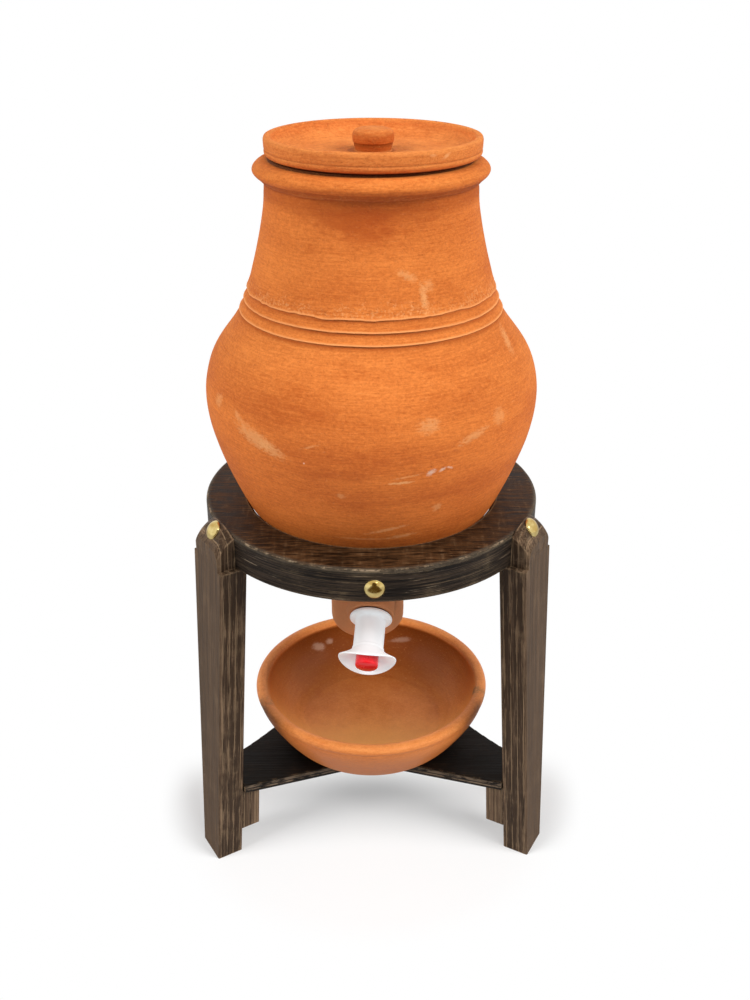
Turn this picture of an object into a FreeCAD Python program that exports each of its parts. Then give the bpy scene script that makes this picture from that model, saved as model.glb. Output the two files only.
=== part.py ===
import FreeCAD, Part
import math
import os

from FreeCAD import Placement, Rotation, Vector

# Clay water pot with a push-button tap, on a three-legged plywood stand with a drip bowl.
# Millimetres, +Z up. The origin is on the floor, under the axis that the pot, ring, lid and bowl share.
# -Y is the front, where the tap is. Sizes named RISE or DROP are measured up or down from the ring's top.

# ---- stand: a plywood ring on three leaning legs, tied by a three-armed shelf ----
RING_TOP = 323.0            # floor to the ring's top face
RING_RADIUS = 138.0
RING_THICKNESS = 28.0
RING_HOLE_RADIUS = 102.5
RING_TOP_ROUND = 3.0        # worn round along the top outer edge
RING_BOTTOM_ROUND = 1.5
RING_HOLE_CHAMFER = 3.0

LEG_COUNT = 3
FIRST_LEG_ANGLE = 90.0      # the back leg; the others follow at equal steps
FRONT_ANGLE = FIRST_LEG_ANGLE + 180.0
LEG_NAMES = ("back", "left", "right")
LEG_THICKNESS = 23.0
LEG_FOOT_REACH = 169.0      # axis to the outer face, at the floor
LEG_FOOT_WIDTH = 32.0
LEG_SHOULDER_WIDTH = 51.5   # just under the ring
LEG_EDGE_ROUND = 1.2
LEG_HEAD_THICKNESS = 14.0   # the head is the part that rises beside the ring
LEG_HEAD_WIDTH = 41.5
LEG_HEAD_RISE = 4.5
LEG_HEAD_DOME = 34.7        # radius of the rounded head
GLUE_GAP = 0.1

SHELF_TOP = 75.5            # floor to the shelf's top face
SHELF_THICKNESS = 9.0
SHELF_ARM_WIDTH = 40.0      # at the leg
SHELF_SIDE_WAIST = 72.0     # axis to the nearest point of each hollow side edge
SHELF_FRONT_CORNER = 53.0   # axis to where the two straight runs of the front edge would meet
SHELF_FRONT_ROUND = 60.0    # radius that eases that corner
SHELF_END_GAP = 0.2
SHELF_EDGE_ROUND = 1.0

CLEAT_WIDTH = 32.0
CLEAT_HEIGHT = 42.5
CLEAT_THICKNESS = 17.0
CLEAT_EDGE_ROUND = 0.8

# ---- fasteners of the stand ----
STUD_RADIUS = 7.9           # brass dome heads
STUD_DOME = 3.4
STUD_RIM = 0.6
STUD_SHANK_RADIUS = 1.75
LEG_STUD_LENGTH = 27.0
LEG_STUD_TILT = 36.0        # above the horizontal; the head is whittled flat square to it
LEG_STUD_OUT = 6.5          # from the ring's rim to the middle of that flat
LEG_STUD_DROP = 5.8         # from the head's top to the middle of that flat
RIM_STUD_LENGTH = 15.0
RIM_STUD_DROP = 16.3
SCREW_SHANK_RADIUS = 1.9
SCREW_HEAD_RADIUS = 3.8
SCREW_HEAD_HEIGHT = 2.6
SCREW_BITE_IN_LEG = 14.0
SCREW_BITE_IN_SHELF = 6.0
CLEAT_SCREW_SPREAD = 9.0    # sideways, each side of the middle
CLEAT_SCREW_HEIGHT = 20.0   # above the underside of the cleat
HOLE_CLEARANCE = 0.05

# ---- pot: one thrown clay vessel, hung in the ring by its lower cone ----
POT_SEAT_GAP = 0.3
POT_WALL = 10.0
NUB_RADIUS = 32.0           # the closed tip that carries the tap
NUB_DROP = 138.0
NUB_NECK_DROP = 108.0
NUB_ROUND = 14.0
CONE_RADIUS = 62.0
CONE_DROP = 58.0
LOWER_BELLY_RADIUS = 121.9
LOWER_BELLY_RISE = 42.0
BELLY_RADIUS = 132.0
BELLY_RISE = 93.0
UPPER_BELLY_RADIUS = 123.4
UPPER_BELLY_RISE = 126.0
SHOULDER_RADIUS = 103.7
SHOULDER_RISE = 154.0
THROAT_RADIUS = 90.9
THROAT_RISE = 189.0
NECK_RADIUS = 79.5
NECK_RISE = 250.0
COLLAR_RADIUS = 87.7
COLLAR_RISE = 260.5
RIM_RADIUS = 77.5           # outer edge of the flat rim that the lid sits on
RIM_RISE = 271.6
MOUTH_RADIUS = 70.0
NUB_START = (0.1, 1)        # directions (outwards, up) in which the side leaves the nub,
COLLAR_START = (0.35, 1)    # the neck runs into the collar,
COLLAR_END = (-1, 0.45)     # and the collar comes in to the rim
WALL_POINT_COUNT = 13       # places at which the inside is set one wall away from the outside
RIDGE_RISES = (159.0, 167.3, 175.7)   # three throwing ridges round the shoulder
RIDGE_ROUND = 2.0
RIDGE_PROUD = 0.9

# ---- lid: a shallow dish with a knob ----
LID_RADIUS = 80.2
LID_OFF_CENTRE = 1.4        # the loose lid sits a little to one side in the mouth
LID_RIM_RISE = 286.0
LID_LIP = 6.5
LID_FOOT_CHAMFER = 3.0
LID_FLOOR_RISE = 274.2
LID_SPIGOT_RADIUS = 66.5
LID_SPIGOT_DEPTH = 5.5
LID_DISH_RUN = 20.0         # width of the curve between lip and floor
LID_DISH_START = (-0.3, -1)  # its direction at the lip
KNOB_FOOT_RADIUS = 13.0
KNOB_RADIUS = 15.4
KNOB_TOP_RISE = 290.2
KNOB_EDGE_DROP = 4.0

# ---- drip bowl, loose on the shelf ----
BOWL_FOOT_RADIUS = 76.5
BOWL_WAIST_RADIUS = 95.2
BOWL_WAIST_HEIGHT = 24.0
BOWL_RIM_RADIUS = 105.8
BOWL_HEIGHT = 52.5
BOWL_BAND_HEIGHT = 6.0
BOWL_RIM_WIDTH = 11.0
BOWL_RIM_ROUND = 1.5
BOWL_WALL = 10.0
BOWL_FLOOR = 9.0
BOWL_FLOOR_RADIUS = 58.0
BOWL_FOOT_START = (0.75, 0.66)   # directions of the outer side at the foot
BOWL_BAND_END = (0.15, 1)        # and under the rim band

# ---- tap, built along its own axis: z is 0 at the collar's face and grows towards the finger ----
POT_TURN = -1.7             # the pot, and so its tap, may stand at any angle in the ring
TAP_TILT = 30.0             # below the horizontal
TAP_ROLL = 4.0              # clockwise, as seen from the front
TAP_YAW = -5.0              # to one side, fitted by hand as it is
TAP_REACH = 38.0            # pot axis to the collar's face
TAP_DROP = 110.0
TAP_COLLAR_RADIUS = 18.2
TAP_COLLAR_THICKNESS = 4.2
TAP_COLLAR_ROUND = 1.8
TAP_BARREL_RADIUS = 12.9
TAP_BARREL_LENGTH = 26.0
TAP_BEAD_RADIUS = 13.5
TAP_BEAD_LENGTH = 2.5
TAP_TAIL_RADIUS = 9.0
TAP_TAIL_BORE = 6.5
TAP_TAIL_SPARE = 4.0        # tail left past the nut
TAP_HOLE_CLEARANCE = 0.6
SEAT_HOLE_RADIUS = 4.0
SEAT_WEB = 2.0
CHAMBER_RADIUS = 8.5
CHAMBER_LENGTH = 19.0
STEM_WALL = 5.0
SPOUT_RADIUS = 6.5
SPOUT_BORE = 4.2
SPOUT_PLACE = 11.0          # along the barrel
SPOUT_DROP = 23.0
GUARD_LENGTH = 12.5
GUARD_HALF_HEIGHT = 20.8
GUARD_HALF_WIDTH = 24.5
GUARD_SWEEP = 5.7           # how far the side tips lie back
GUARD_WALL = 2.0
WASHER_THICKNESS = 1.5
OUTER_WASHER_RADIUS = 15.8
INNER_WASHER_RADIUS = 14.5
CLAY_AT_TAP = 14.0
TAP_BOSS_RADIUS = 21.0
TAP_BOSS_ROUND = 2.5
TAP_PAD_RADIUS = 16.5
TAP_PAD_SPARE = 1.0         # the nut's pocket is this much narrower than the pad
NUT_FLATS = 24.0
NUT_THICKNESS = 8.0

# ---- the moving valve inside the tap ----
BUTTON_RADIUS = 9.8
BUTTON_TRAVEL = 5.0
BUTTON_TOP = 45.0           # collar face to the button's crown
BUTTON_CROWN = 2.2
BUTTON_WALL = 1.7
BUTTON_BOSS_RADIUS = 3.6
BUTTON_GAP = 0.3
BUTTON_STOP_GAP = 0.5
STEM_RADIUS = 1.9
STEM_FIT = 0.08
SEAL_RADIUS = 5.6
SEAL_THICKNESS = 3.0
SOCKET_FIT = 0.02
ORING_RADIUS = 0.95
SPRING_WIRE_RADIUS = 0.45
SPRING_MEAN_RADIUS = 6.4
SPRING_TURNS = 5.0
SPRING_END_GAP = 0.05

# ---- heights and places that follow from the sizes above ----
RING_BOTTOM = RING_TOP - RING_THICKNESS
LEG_HEAD_REACH = RING_RADIUS + LEG_HEAD_THICKNESS
LEG_HEAD_TOP = RING_TOP + LEG_HEAD_RISE
LEG_LEAN = (LEG_FOOT_REACH - LEG_HEAD_REACH) / RING_BOTTOM
SHELF_BOTTOM = SHELF_TOP - SHELF_THICKNESS
CLEAT_BOTTOM = SHELF_BOTTOM - CLEAT_HEIGHT
CLAY_FACE = -TAP_COLLAR_THICKNESS - WASHER_THICKNESS     # on the tap's axis
CLAY_BACK = CLAY_FACE - CLAY_AT_TAP
NUT_FACE = CLAY_BACK - WASHER_THICKNESS
TAIL_END = NUT_FACE - NUT_THICKNESS - TAP_TAIL_SPARE
BEAD_START = TAP_BARREL_LENGTH
GUARD_START = BEAD_START + TAP_BEAD_LENGTH
GUARD_END = GUARD_START + GUARD_LENGTH
CHAMBER_END = SEAT_WEB + CHAMBER_LENGTH
POCKET_FLOOR = CHAMBER_END + STEM_WALL
BUTTON_SKIRT = POCKET_FLOOR + BUTTON_TRAVEL + BUTTON_STOP_GAP
BUTTON_CEILING = BUTTON_TOP - BUTTON_CROWN - BUTTON_WALL
POCKET_RADIUS = BUTTON_RADIUS + BUTTON_GAP
LONG = 4.0 * RING_TOP       # longer than anything, for cutting tools

UP = Vector(0, 0, 1)
UPWARDS = (0, 1)            # directions in an (outwards, up) outline
DOWNWARDS = (0, -1)
INWARDS = (-1, 0)
AXIS_FOOT = Vector(0, 0, 0)


# ---- helpers ----
def cylinder(radius, bottom, top):
    """A cylinder on the Z axis between two heights."""
    return Part.makeCylinder(radius, top - bottom, Vector(0, 0, bottom), UP)


def tube(outer, inner, bottom, top):
    """A round tube on the Z axis between two heights."""
    return cylinder(outer, bottom, top).cut(cylinder(inner, bottom, top))


def polyline(points):
    """The straight edges that join (radius, height) points."""
    corners = [Vector(r, 0, z) for r, z in points]
    return [Part.LineSegment(a, b).toShape() for a, b in zip(corners, corners[1:])]


def curve_through(points, start=None, end=None):
    """A smooth curve through (radius, height) points, with optional end directions."""
    curve = Part.BSplineCurve()
    corners = [Vector(r, 0, z) for r, z in points]
    if start is None:
        curve.interpolate(corners)
    else:
        curve.interpolate(Points=corners, InitialTangent=Vector(start[0], 0, start[1]),
                          FinalTangent=Vector(end[0], 0, end[1]))
    return curve


def quarter_ellipse(level_end, upright_end):
    """A quarter of an ellipse, level at one end and upright at the other."""
    bulge = 4.0 / 3.0 * (math.sqrt(2) - 1)
    run = upright_end[0] - level_end[0]
    rise = level_end[1] - upright_end[1]
    curve = Part.BezierCurve()
    curve.setPoles([Vector(r, 0, z) for r, z in (
        level_end,
        (level_end[0] + bulge * run, level_end[1]),
        (upright_end[0], upright_end[1] + bulge * rise),
        upright_end)])
    return curve.toShape()


def revolve(edges):
    """A solid of revolution about the Z axis from a closed outline in the XZ plane."""
    face = Part.Face(Part.Wire(Part.__sortEdges__(edges)))
    return face.revolve(AXIS_FOOT, UP, 360)


def prism(points, thickness):
    """A plate in the XZ plane from (x, z) points, centred on Y = 0."""
    edges = polyline(list(points) + [points[0]])
    face = Part.Face(Part.Wire(edges))
    plate = face.extrude(Vector(0, thickness, 0))
    plate.translate(Vector(0, -thickness / 2, 0))
    return plate


def turned(shape, angle):
    """A copy turned about the Z axis."""
    copy = shape.copy()
    copy.rotate(AXIS_FOOT, UP, angle)
    return copy


def leg_angles():
    return [FIRST_LEG_ANGLE + 360.0 / LEG_COUNT * i for i in range(LEG_COUNT)]


def between_leg_angles():
    return [a + 180.0 / LEG_COUNT for a in leg_angles()]


# ---- the stand; each leg, cleat and screw is made on the +X axis and then turned into place ----
def leg_outer_face(z):
    return LEG_FOOT_REACH - LEG_LEAN * z


def leg_inner_face(z):
    return leg_outer_face(z) - LEG_THICKNESS


def leg_side_view():
    """The leg seen along its width: a leaning board, notched under the ring, with an upright head."""
    head_inside = RING_RADIUS - LEG_HEAD_THICKNESS
    return prism([
        (LEG_HEAD_REACH, LEG_HEAD_TOP),
        (LEG_HEAD_REACH, RING_BOTTOM),
        (LEG_FOOT_REACH, 0),
        (leg_inner_face(0), 0),
        (leg_inner_face(RING_BOTTOM), RING_BOTTOM),
        (head_inside, RING_BOTTOM),
        (head_inside, LEG_HEAD_TOP),
    ], 2 * LEG_SHOULDER_WIDTH)


def leg_front_view():
    """The leg seen from outside: tapered down to the foot, with shoulders under a narrower head."""
    foot = LEG_FOOT_WIDTH / 2
    shoulder = LEG_SHOULDER_WIDTH / 2
    head = LEG_HEAD_WIDTH / 2
    front = prism([(head, LEG_HEAD_TOP), (head, RING_BOTTOM), (shoulder, RING_BOTTOM), (foot, 0),
                   (-foot, 0), (-shoulder, RING_BOTTOM), (-head, RING_BOTTOM), (-head, LEG_HEAD_TOP)],
                  4 * LEG_FOOT_REACH)
    front.rotate(AXIS_FOOT, UP, 90)
    return front


def head_dome():
    """What the rounded head keeps: a ball through the head's top at the ring's rim, and all below it."""
    rise = LEG_HEAD_TOP - RING_BOTTOM
    centre = Vector(RING_RADIUS - math.sqrt(LEG_HEAD_DOME ** 2 - rise ** 2), 0, RING_BOTTOM)
    below = Part.makeBox(2 * LEG_FOOT_REACH, 2 * LEG_SHOULDER_WIDTH, RING_BOTTOM,
                         Vector(0, -LEG_SHOULDER_WIDTH, 0))
    return Part.makeSphere(LEG_HEAD_DOME, centre).fuse(below)


def head_flat_cutter():
    """The block that is whittled off the head, down to the flat that the stud beds on."""
    size = 4 * LEG_HEAD_WIDTH
    return placed(Part.makeBox(size, size, size, Vector(-size / 2, -size / 2, 0)), leg_stud_place())


def leg():
    """One leg on the +X axis: side view and front view crossed, head rounded, coped to the ring."""
    board = leg_side_view().common(leg_front_view())
    board = board.makeFillet(LEG_EDGE_ROUND, [e for e in board.Edges if e.BoundBox.ZLength > RING_BOTTOM / 2])
    board = board.common(head_dome()).cut(head_flat_cutter())
    board = board.cut(cylinder(RING_RADIUS + GLUE_GAP, RING_BOTTOM, LEG_HEAD_TOP + LEG_HEAD_RISE))
    return board.cut(leg_stud_hole()).cut(cleat_screw_holes())


def rims(solid, radius, height):
    """The circular edges of a solid that have this radius and lie at this height."""
    return [e for e in solid.Edges if isinstance(e.Curve, Part.Circle)
            and math.isclose(e.Curve.Radius, radius) and math.isclose(e.Curve.Center.z, height)]


def ring():
    """The round board with the hole that the pot hangs in."""
    board = tube(RING_RADIUS, RING_HOLE_RADIUS, RING_BOTTOM, RING_TOP)
    board = board.makeFillet(RING_TOP_ROUND, rims(board, RING_RADIUS, RING_TOP))
    board = board.makeFillet(RING_BOTTOM_ROUND, rims(board, RING_RADIUS, RING_BOTTOM))
    board = board.makeChamfer(RING_HOLE_CHAMFER, rims(board, RING_HOLE_RADIUS, RING_TOP))
    for angle in leg_angles():
        board = board.cut(turned(leg_stud_hole(), angle))
    for angle in between_leg_angles():
        board = board.cut(turned(rim_stud_hole(), angle))
    return board


def straight_runs(start, corner, end, radius):
    """Two straight edges that would meet at a corner, with an arc of that radius between them."""
    back = (start - corner).normalize()
    onward = (end - corner).normalize()
    between = (back + onward).normalize()
    half_angle = back.getAngle(onward) / 2
    run = radius / math.tan(half_angle)
    first = corner + back * run
    last = corner + onward * run
    crown = corner + between * (radius / math.sin(half_angle) - radius)
    return [
        Part.LineSegment(start, first).toShape(),
        Part.Arc(first, crown, last).toShape(),
        Part.LineSegment(last, end).toShape(),
    ]


def shelf_outline():
    """Three arms that end at the legs, joined by two hollow side edges and a front edge of two runs."""
    arm_end = leg_inner_face(SHELF_TOP) - SHELF_END_GAP
    half = SHELF_ARM_WIDTH / 2
    edges = []
    for angle in leg_angles():
        here = Rotation(UP, angle)
        following = Rotation(UP, angle + 360.0 / LEG_COUNT)
        waist_angle = angle + 180.0 / LEG_COUNT
        waist = Rotation(UP, waist_angle)
        near = here.multVec(Vector(arm_end, -half, SHELF_BOTTOM))
        far = here.multVec(Vector(arm_end, half, SHELF_BOTTOM))
        start_of_next = following.multVec(Vector(arm_end, -half, SHELF_BOTTOM))
        edges.append(Part.LineSegment(near, far).toShape())
        if math.isclose(waist_angle % 360, FRONT_ANGLE % 360):
            corner = waist.multVec(Vector(SHELF_FRONT_CORNER, 0, SHELF_BOTTOM))
            edges += straight_runs(far, corner, start_of_next, SHELF_FRONT_ROUND)
        else:
            middle = waist.multVec(Vector(SHELF_SIDE_WAIST, 0, SHELF_BOTTOM))
            edges.append(Part.Arc(far, middle, start_of_next).toShape())
    return Part.Wire(edges)


def shelf():
    plate = Part.Face(shelf_outline()).extrude(Vector(0, 0, SHELF_THICKNESS))
    level_edges = [e for e in plate.Edges if e.BoundBox.ZLength < SHELF_THICKNESS / 2]
    plate = plate.makeFillet(SHELF_EDGE_ROUND, level_edges)
    for angle in leg_angles():
        plate = plate.cut(turned(shelf_screw_hole(), angle))
    return plate


def cleat():
    """A block on the leg's inner face, under the shelf's arm."""
    block = prism([
        (leg_inner_face(SHELF_BOTTOM), SHELF_BOTTOM),
        (leg_inner_face(CLEAT_BOTTOM), CLEAT_BOTTOM),
        (leg_inner_face(CLEAT_BOTTOM) - CLEAT_THICKNESS, CLEAT_BOTTOM),
        (leg_inner_face(SHELF_BOTTOM) - CLEAT_THICKNESS, SHELF_BOTTOM),
    ], CLEAT_WIDTH)
    block = block.makeFillet(CLEAT_EDGE_ROUND, block.Edges)
    return block.cut(cleat_screw_holes()).cut(shelf_screw_hole())


# ---- fasteners ----
def dome_stud(length):
    """A brass dome head over a shank, along +Z, its flat underside at z = 0."""
    sphere_radius = (STUD_RADIUS ** 2 + STUD_DOME ** 2) / (2 * STUD_DOME)
    ball = Part.makeSphere(sphere_radius, Vector(0, 0, STUD_RIM + STUD_DOME - sphere_radius))
    head = cylinder(STUD_RADIUS, 0, STUD_RIM + STUD_DOME).common(ball)
    return head.fuse(cylinder(STUD_SHANK_RADIUS, -length, 0)).removeSplitter()


def leg_stud_place():
    """Seat of the dome on the whittled flat of the head, facing outwards and up."""
    seat = Vector(RING_RADIUS + LEG_STUD_OUT, 0, LEG_HEAD_TOP - LEG_STUD_DROP)
    return Placement(seat, Rotation(Vector(0, 1, 0), 90 - LEG_STUD_TILT))


def rim_stud_place():
    return Placement(Vector(RING_RADIUS, 0, RING_TOP - RIM_STUD_DROP), Rotation(Vector(0, 1, 0), 90))


def placed(shape, place):
    copy = shape.copy()
    copy.Placement = place.multiply(copy.Placement)
    return copy


def shank_hole(radius, length):
    return cylinder(radius + HOLE_CLEARANCE, -length - HOLE_CLEARANCE, 0)


def leg_stud_hole():
    return placed(shank_hole(STUD_SHANK_RADIUS, LEG_STUD_LENGTH), leg_stud_place())


def rim_stud_hole():
    """The shank's hole, and a shallow flat in the round rim for the dome."""
    sagitta = RING_RADIUS - math.sqrt(RING_RADIUS ** 2 - STUD_RADIUS ** 2)
    bed = cylinder(STUD_RADIUS + HOLE_CLEARANCE, -sagitta, STUD_RADIUS)
    return placed(shank_hole(STUD_SHANK_RADIUS, RIM_STUD_LENGTH + sagitta).fuse(bed), rim_stud_place())


def rim_stud():
    """The dome sits at the bottom of its shallow flat."""
    sagitta = RING_RADIUS - math.sqrt(RING_RADIUS ** 2 - STUD_RADIUS ** 2)
    stud = dome_stud(RIM_STUD_LENGTH)
    stud.translate(Vector(0, 0, -sagitta))
    return placed(stud, rim_stud_place())


def wood_screw(length, spare=0.0):
    """A countersunk screw along -Z with its head flush at z = 0; spare widens it into its own hole."""
    shank = cylinder(SCREW_SHANK_RADIUS + spare, -length - spare, 0)
    head = Part.makeCone(SCREW_SHANK_RADIUS + spare, SCREW_HEAD_RADIUS + spare, SCREW_HEAD_HEIGHT,
                         Vector(0, 0, -SCREW_HEAD_HEIGHT), UP)
    return shank.fuse(head).removeSplitter()


def cleat_screws_at_x(spare=0.0):
    """The two screws that go through a cleat into its leg, square to the leg's inner face."""
    length = CLEAT_THICKNESS + SCREW_BITE_IN_LEG
    height = CLEAT_BOTTOM + CLEAT_SCREW_HEIGHT
    lean = math.degrees(math.atan(LEG_LEAN))
    screws = []
    for side in (-CLEAT_SCREW_SPREAD, CLEAT_SCREW_SPREAD):
        seat = Vector(leg_inner_face(height) - CLEAT_THICKNESS, side, height)
        screws.append(placed(wood_screw(length, spare),
                             Placement(seat, Rotation(Vector(0, 1, 0), -90 + lean))))
    return screws


def cleat_screw_holes():
    return Part.makeCompound(cleat_screws_at_x(HOLE_CLEARANCE))


def shelf_screw_at_x(spare=0.0):
    """The screw that goes up through a cleat into the shelf."""
    middle = leg_inner_face(CLEAT_BOTTOM) - CLEAT_THICKNESS / 2
    upside_down = Rotation(Vector(0, 1, 0), 180)
    return placed(wood_screw(CLEAT_HEIGHT + SCREW_BITE_IN_SHELF, spare),
                  Placement(Vector(middle, 0, CLEAT_BOTTOM), upside_down))


def shelf_screw_hole():
    return shelf_screw_at_x(HOLE_CLEARANCE)


def ring_of(shapes, angles):
    """Copies of the given solids at each angle, as one compound."""
    return Part.makeCompound([turned(s, a) for a in angles for s in shapes])


# ---- the pot ----
def pot_side_curve():
    """Outer side of the pot from the nub to the neck."""
    seat = (RING_HOLE_RADIUS - POT_SEAT_GAP, RING_TOP - RING_HOLE_CHAMFER)
    return curve_through([
        (NUB_RADIUS, RING_TOP - NUB_NECK_DROP),
        (CONE_RADIUS, RING_TOP - CONE_DROP),
        seat,
        (LOWER_BELLY_RADIUS, RING_TOP + LOWER_BELLY_RISE),
        (BELLY_RADIUS, RING_TOP + BELLY_RISE),
        (UPPER_BELLY_RADIUS, RING_TOP + UPPER_BELLY_RISE),
        (SHOULDER_RADIUS, RING_TOP + SHOULDER_RISE),
        (THROAT_RADIUS, RING_TOP + THROAT_RISE),
        (NECK_RADIUS, RING_TOP + NECK_RISE),
    ], start=NUB_START, end=UPWARDS)


def side_points(curve, inward, count):
    """Points moved square to the curve by the wall, evenly spread along it."""
    points = []
    for i in range(count):
        u = curve.FirstParameter + (curve.LastParameter - curve.FirstParameter) * i / (count - 1)
        here = curve.value(u)
        along = curve.tangent(u)[0]
        points.append((here.x - inward * along.z, here.z + inward * along.x))
    return points


def radius_on(curve, height):
    """Radius of the side curve at a height."""
    level = Part.LineSegment(Vector(0, 0, height), Vector(LONG, 0, height))
    return curve.intersect(level)[0].X


def pot_outside(side):
    """The full outer form, up to the rim."""
    foot = RING_TOP - NUB_DROP
    neck = (NECK_RADIUS, RING_TOP + NECK_RISE)
    collar = (COLLAR_RADIUS, RING_TOP + COLLAR_RISE)
    rim = (RIM_RADIUS, RING_TOP + RIM_RISE)
    nub_side = (NUB_RADIUS, RING_TOP - NUB_NECK_DROP)
    edges = [side.toShape()]
    edges.append(curve_through([neck, collar, rim], start=COLLAR_START, end=COLLAR_END).toShape())
    edges += polyline([rim, (0, rim[1]), (0, foot), (NUB_RADIUS - NUB_ROUND, foot)])
    edges.append(quarter_ellipse((NUB_RADIUS - NUB_ROUND, foot), (NUB_RADIUS, foot + NUB_ROUND)))
    edges += polyline([(NUB_RADIUS, foot + NUB_ROUND), nub_side])
    return revolve(edges)


def pot_cavity(side):
    """The room for the water, one wall thickness inside."""
    floor = RING_TOP - NUB_DROP + POT_WALL
    inner = side_points(side, POT_WALL, WALL_POINT_COUNT)
    top = RING_TOP + RIM_RISE
    bottom = (NUB_RADIUS - POT_WALL, inner[0][1])
    inner[0] = bottom
    edges = [curve_through(inner).toShape()]
    edges += polyline([inner[-1], (MOUTH_RADIUS, top), (0, top), (0, floor), (bottom[0], floor), bottom])
    return revolve(edges)


def ridges(side):
    """Three low rolled ridges round the shoulder."""
    rings = []
    for rise in RIDGE_RISES:
        height = RING_TOP + rise
        centre = radius_on(side, height) - RIDGE_ROUND + RIDGE_PROUD
        rings.append(Part.makeTorus(centre, RIDGE_ROUND, Vector(0, 0, height), UP))
    return rings


def pot():
    """Outer form with ridges and tap boss, hollowed, padded inside and bored for the tap."""
    side = pot_side_curve()
    boss = cylinder(TAP_BOSS_RADIUS, CLAY_BACK, CLAY_FACE)
    boss = boss.makeFillet(TAP_BOSS_ROUND, rims(boss, TAP_BOSS_RADIUS, CLAY_FACE))
    body = pot_outside(side).fuse([on_tap(boss)] + ridges(side))
    body = body.cut(on_tap(cylinder(TAP_BOSS_RADIUS - TAP_BOSS_ROUND, CLAY_FACE, GUARD_END)))
    body = body.cut(pot_cavity(side))
    pad = cylinder(TAP_PAD_RADIUS, CLAY_BACK, CLAY_FACE - TAP_BOSS_ROUND)
    body = body.fuse(on_tap(pad))
    body = body.cut(on_tap(cylinder(TAP_PAD_RADIUS - TAP_PAD_SPARE, TAIL_END, CLAY_BACK)))
    return body.cut(on_tap(cylinder(TAP_TAIL_RADIUS + TAP_HOLE_CLEARANCE, TAIL_END, GUARD_END)))


def lid():
    """A dish with a raised rim, a round knob, and a spigot that drops into the pot's mouth."""
    base = RING_TOP + RIM_RISE
    top = RING_TOP + LID_RIM_RISE
    floor = RING_TOP + LID_FLOOR_RISE
    lip = LID_LIP / 2
    knob_edge = RING_TOP + KNOB_TOP_RISE - KNOB_EDGE_DROP
    edges = polyline([
        (0, base - LID_SPIGOT_DEPTH),
        (LID_SPIGOT_RADIUS, base - LID_SPIGOT_DEPTH),
        (LID_SPIGOT_RADIUS, base),
        (LID_RADIUS - LID_FOOT_CHAMFER, base),
        (LID_RADIUS, base + LID_FOOT_CHAMFER),
        (LID_RADIUS, top - lip),
    ])
    edges.append(quarter_ellipse((LID_RADIUS - lip, top), (LID_RADIUS, top - lip)))
    edges.append(quarter_ellipse((LID_RADIUS - lip, top), (LID_RADIUS - LID_LIP, top - lip)))
    lip_inside = (LID_RADIUS - LID_LIP, top - lip)
    dish_floor = (lip_inside[0] - LID_DISH_RUN, floor)
    edges.append(curve_through([lip_inside, dish_floor], start=LID_DISH_START, end=INWARDS).toShape())
    edges += polyline([dish_floor, (KNOB_FOOT_RADIUS, floor), (KNOB_RADIUS, knob_edge)])
    edges.append(quarter_ellipse((0, knob_edge + KNOB_EDGE_DROP), (KNOB_RADIUS, knob_edge)))
    edges += polyline([(0, knob_edge + KNOB_EDGE_DROP), (0, base - LID_SPIGOT_DEPTH)])
    return placed(revolve(edges), Placement(Vector(LID_OFF_CENTRE, 0, 0), Rotation()))


def bowl():
    """The drip bowl: a flat foot, a full side and a thick rim band."""
    foot = SHELF_TOP
    waist = foot + BOWL_WAIST_HEIGHT
    top = foot + BOWL_HEIGHT
    shoulder = top - BOWL_RIM_ROUND
    inner_rim = BOWL_RIM_RADIUS - BOWL_RIM_WIDTH
    rim = [(BOWL_RIM_RADIUS, top - BOWL_BAND_HEIGHT), (BOWL_RIM_RADIUS, shoulder)]
    floor = [(BOWL_FLOOR_RADIUS, foot + BOWL_FLOOR), (0, foot + BOWL_FLOOR), (0, foot),
             (BOWL_FOOT_RADIUS, foot)]
    outside = curve_through([floor[-1], (BOWL_WAIST_RADIUS, waist), rim[0]],
                            start=BOWL_FOOT_START, end=BOWL_BAND_END)
    inside = curve_through([(inner_rim, shoulder), (BOWL_WAIST_RADIUS - BOWL_WALL, waist), floor[0]],
                           start=DOWNWARDS, end=INWARDS)
    edges = polyline(rim) + polyline(floor) + [outside.toShape(), inside.toShape()]
    edges.append(quarter_ellipse((BOWL_RIM_RADIUS - BOWL_RIM_ROUND, top), rim[1]))
    edges += polyline([(BOWL_RIM_RADIUS - BOWL_RIM_ROUND, top), (inner_rim + BOWL_RIM_ROUND, top)])
    edges.append(quarter_ellipse((inner_rim + BOWL_RIM_ROUND, top), (inner_rim, shoulder)))
    return revolve(edges)


# ---- the tap ----
def tap_place():
    """Carries the tap's own axis to the pot: out to the front, tilted down, rolled a little."""
    tilt = Rotation(Vector(1, 0, 0), 90 + TAP_TILT)
    roll = Rotation(UP, -TAP_ROLL)
    yaw = Rotation(UP, TAP_YAW)
    straight = Placement(Vector(0, -TAP_REACH, RING_TOP - TAP_DROP), yaw.multiply(tilt).multiply(roll))
    return Placement(AXIS_FOOT, Rotation(UP, POT_TURN)).multiply(straight)


def on_tap(shape):
    return placed(shape, tap_place())


def ellipse_wire(half_width, half_height, z):
    """An ellipse across the tap's axis; the wider way may be either."""
    centre = Vector(0, 0, z)
    if half_width >= half_height:
        curve = Part.Ellipse(Vector(half_width, 0, z), Vector(0, half_height, z), centre)
    else:
        curve = Part.Ellipse(Vector(0, half_height, z), Vector(-half_width, 0, z), centre)
    return Part.Wire(curve.toShape())


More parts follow.
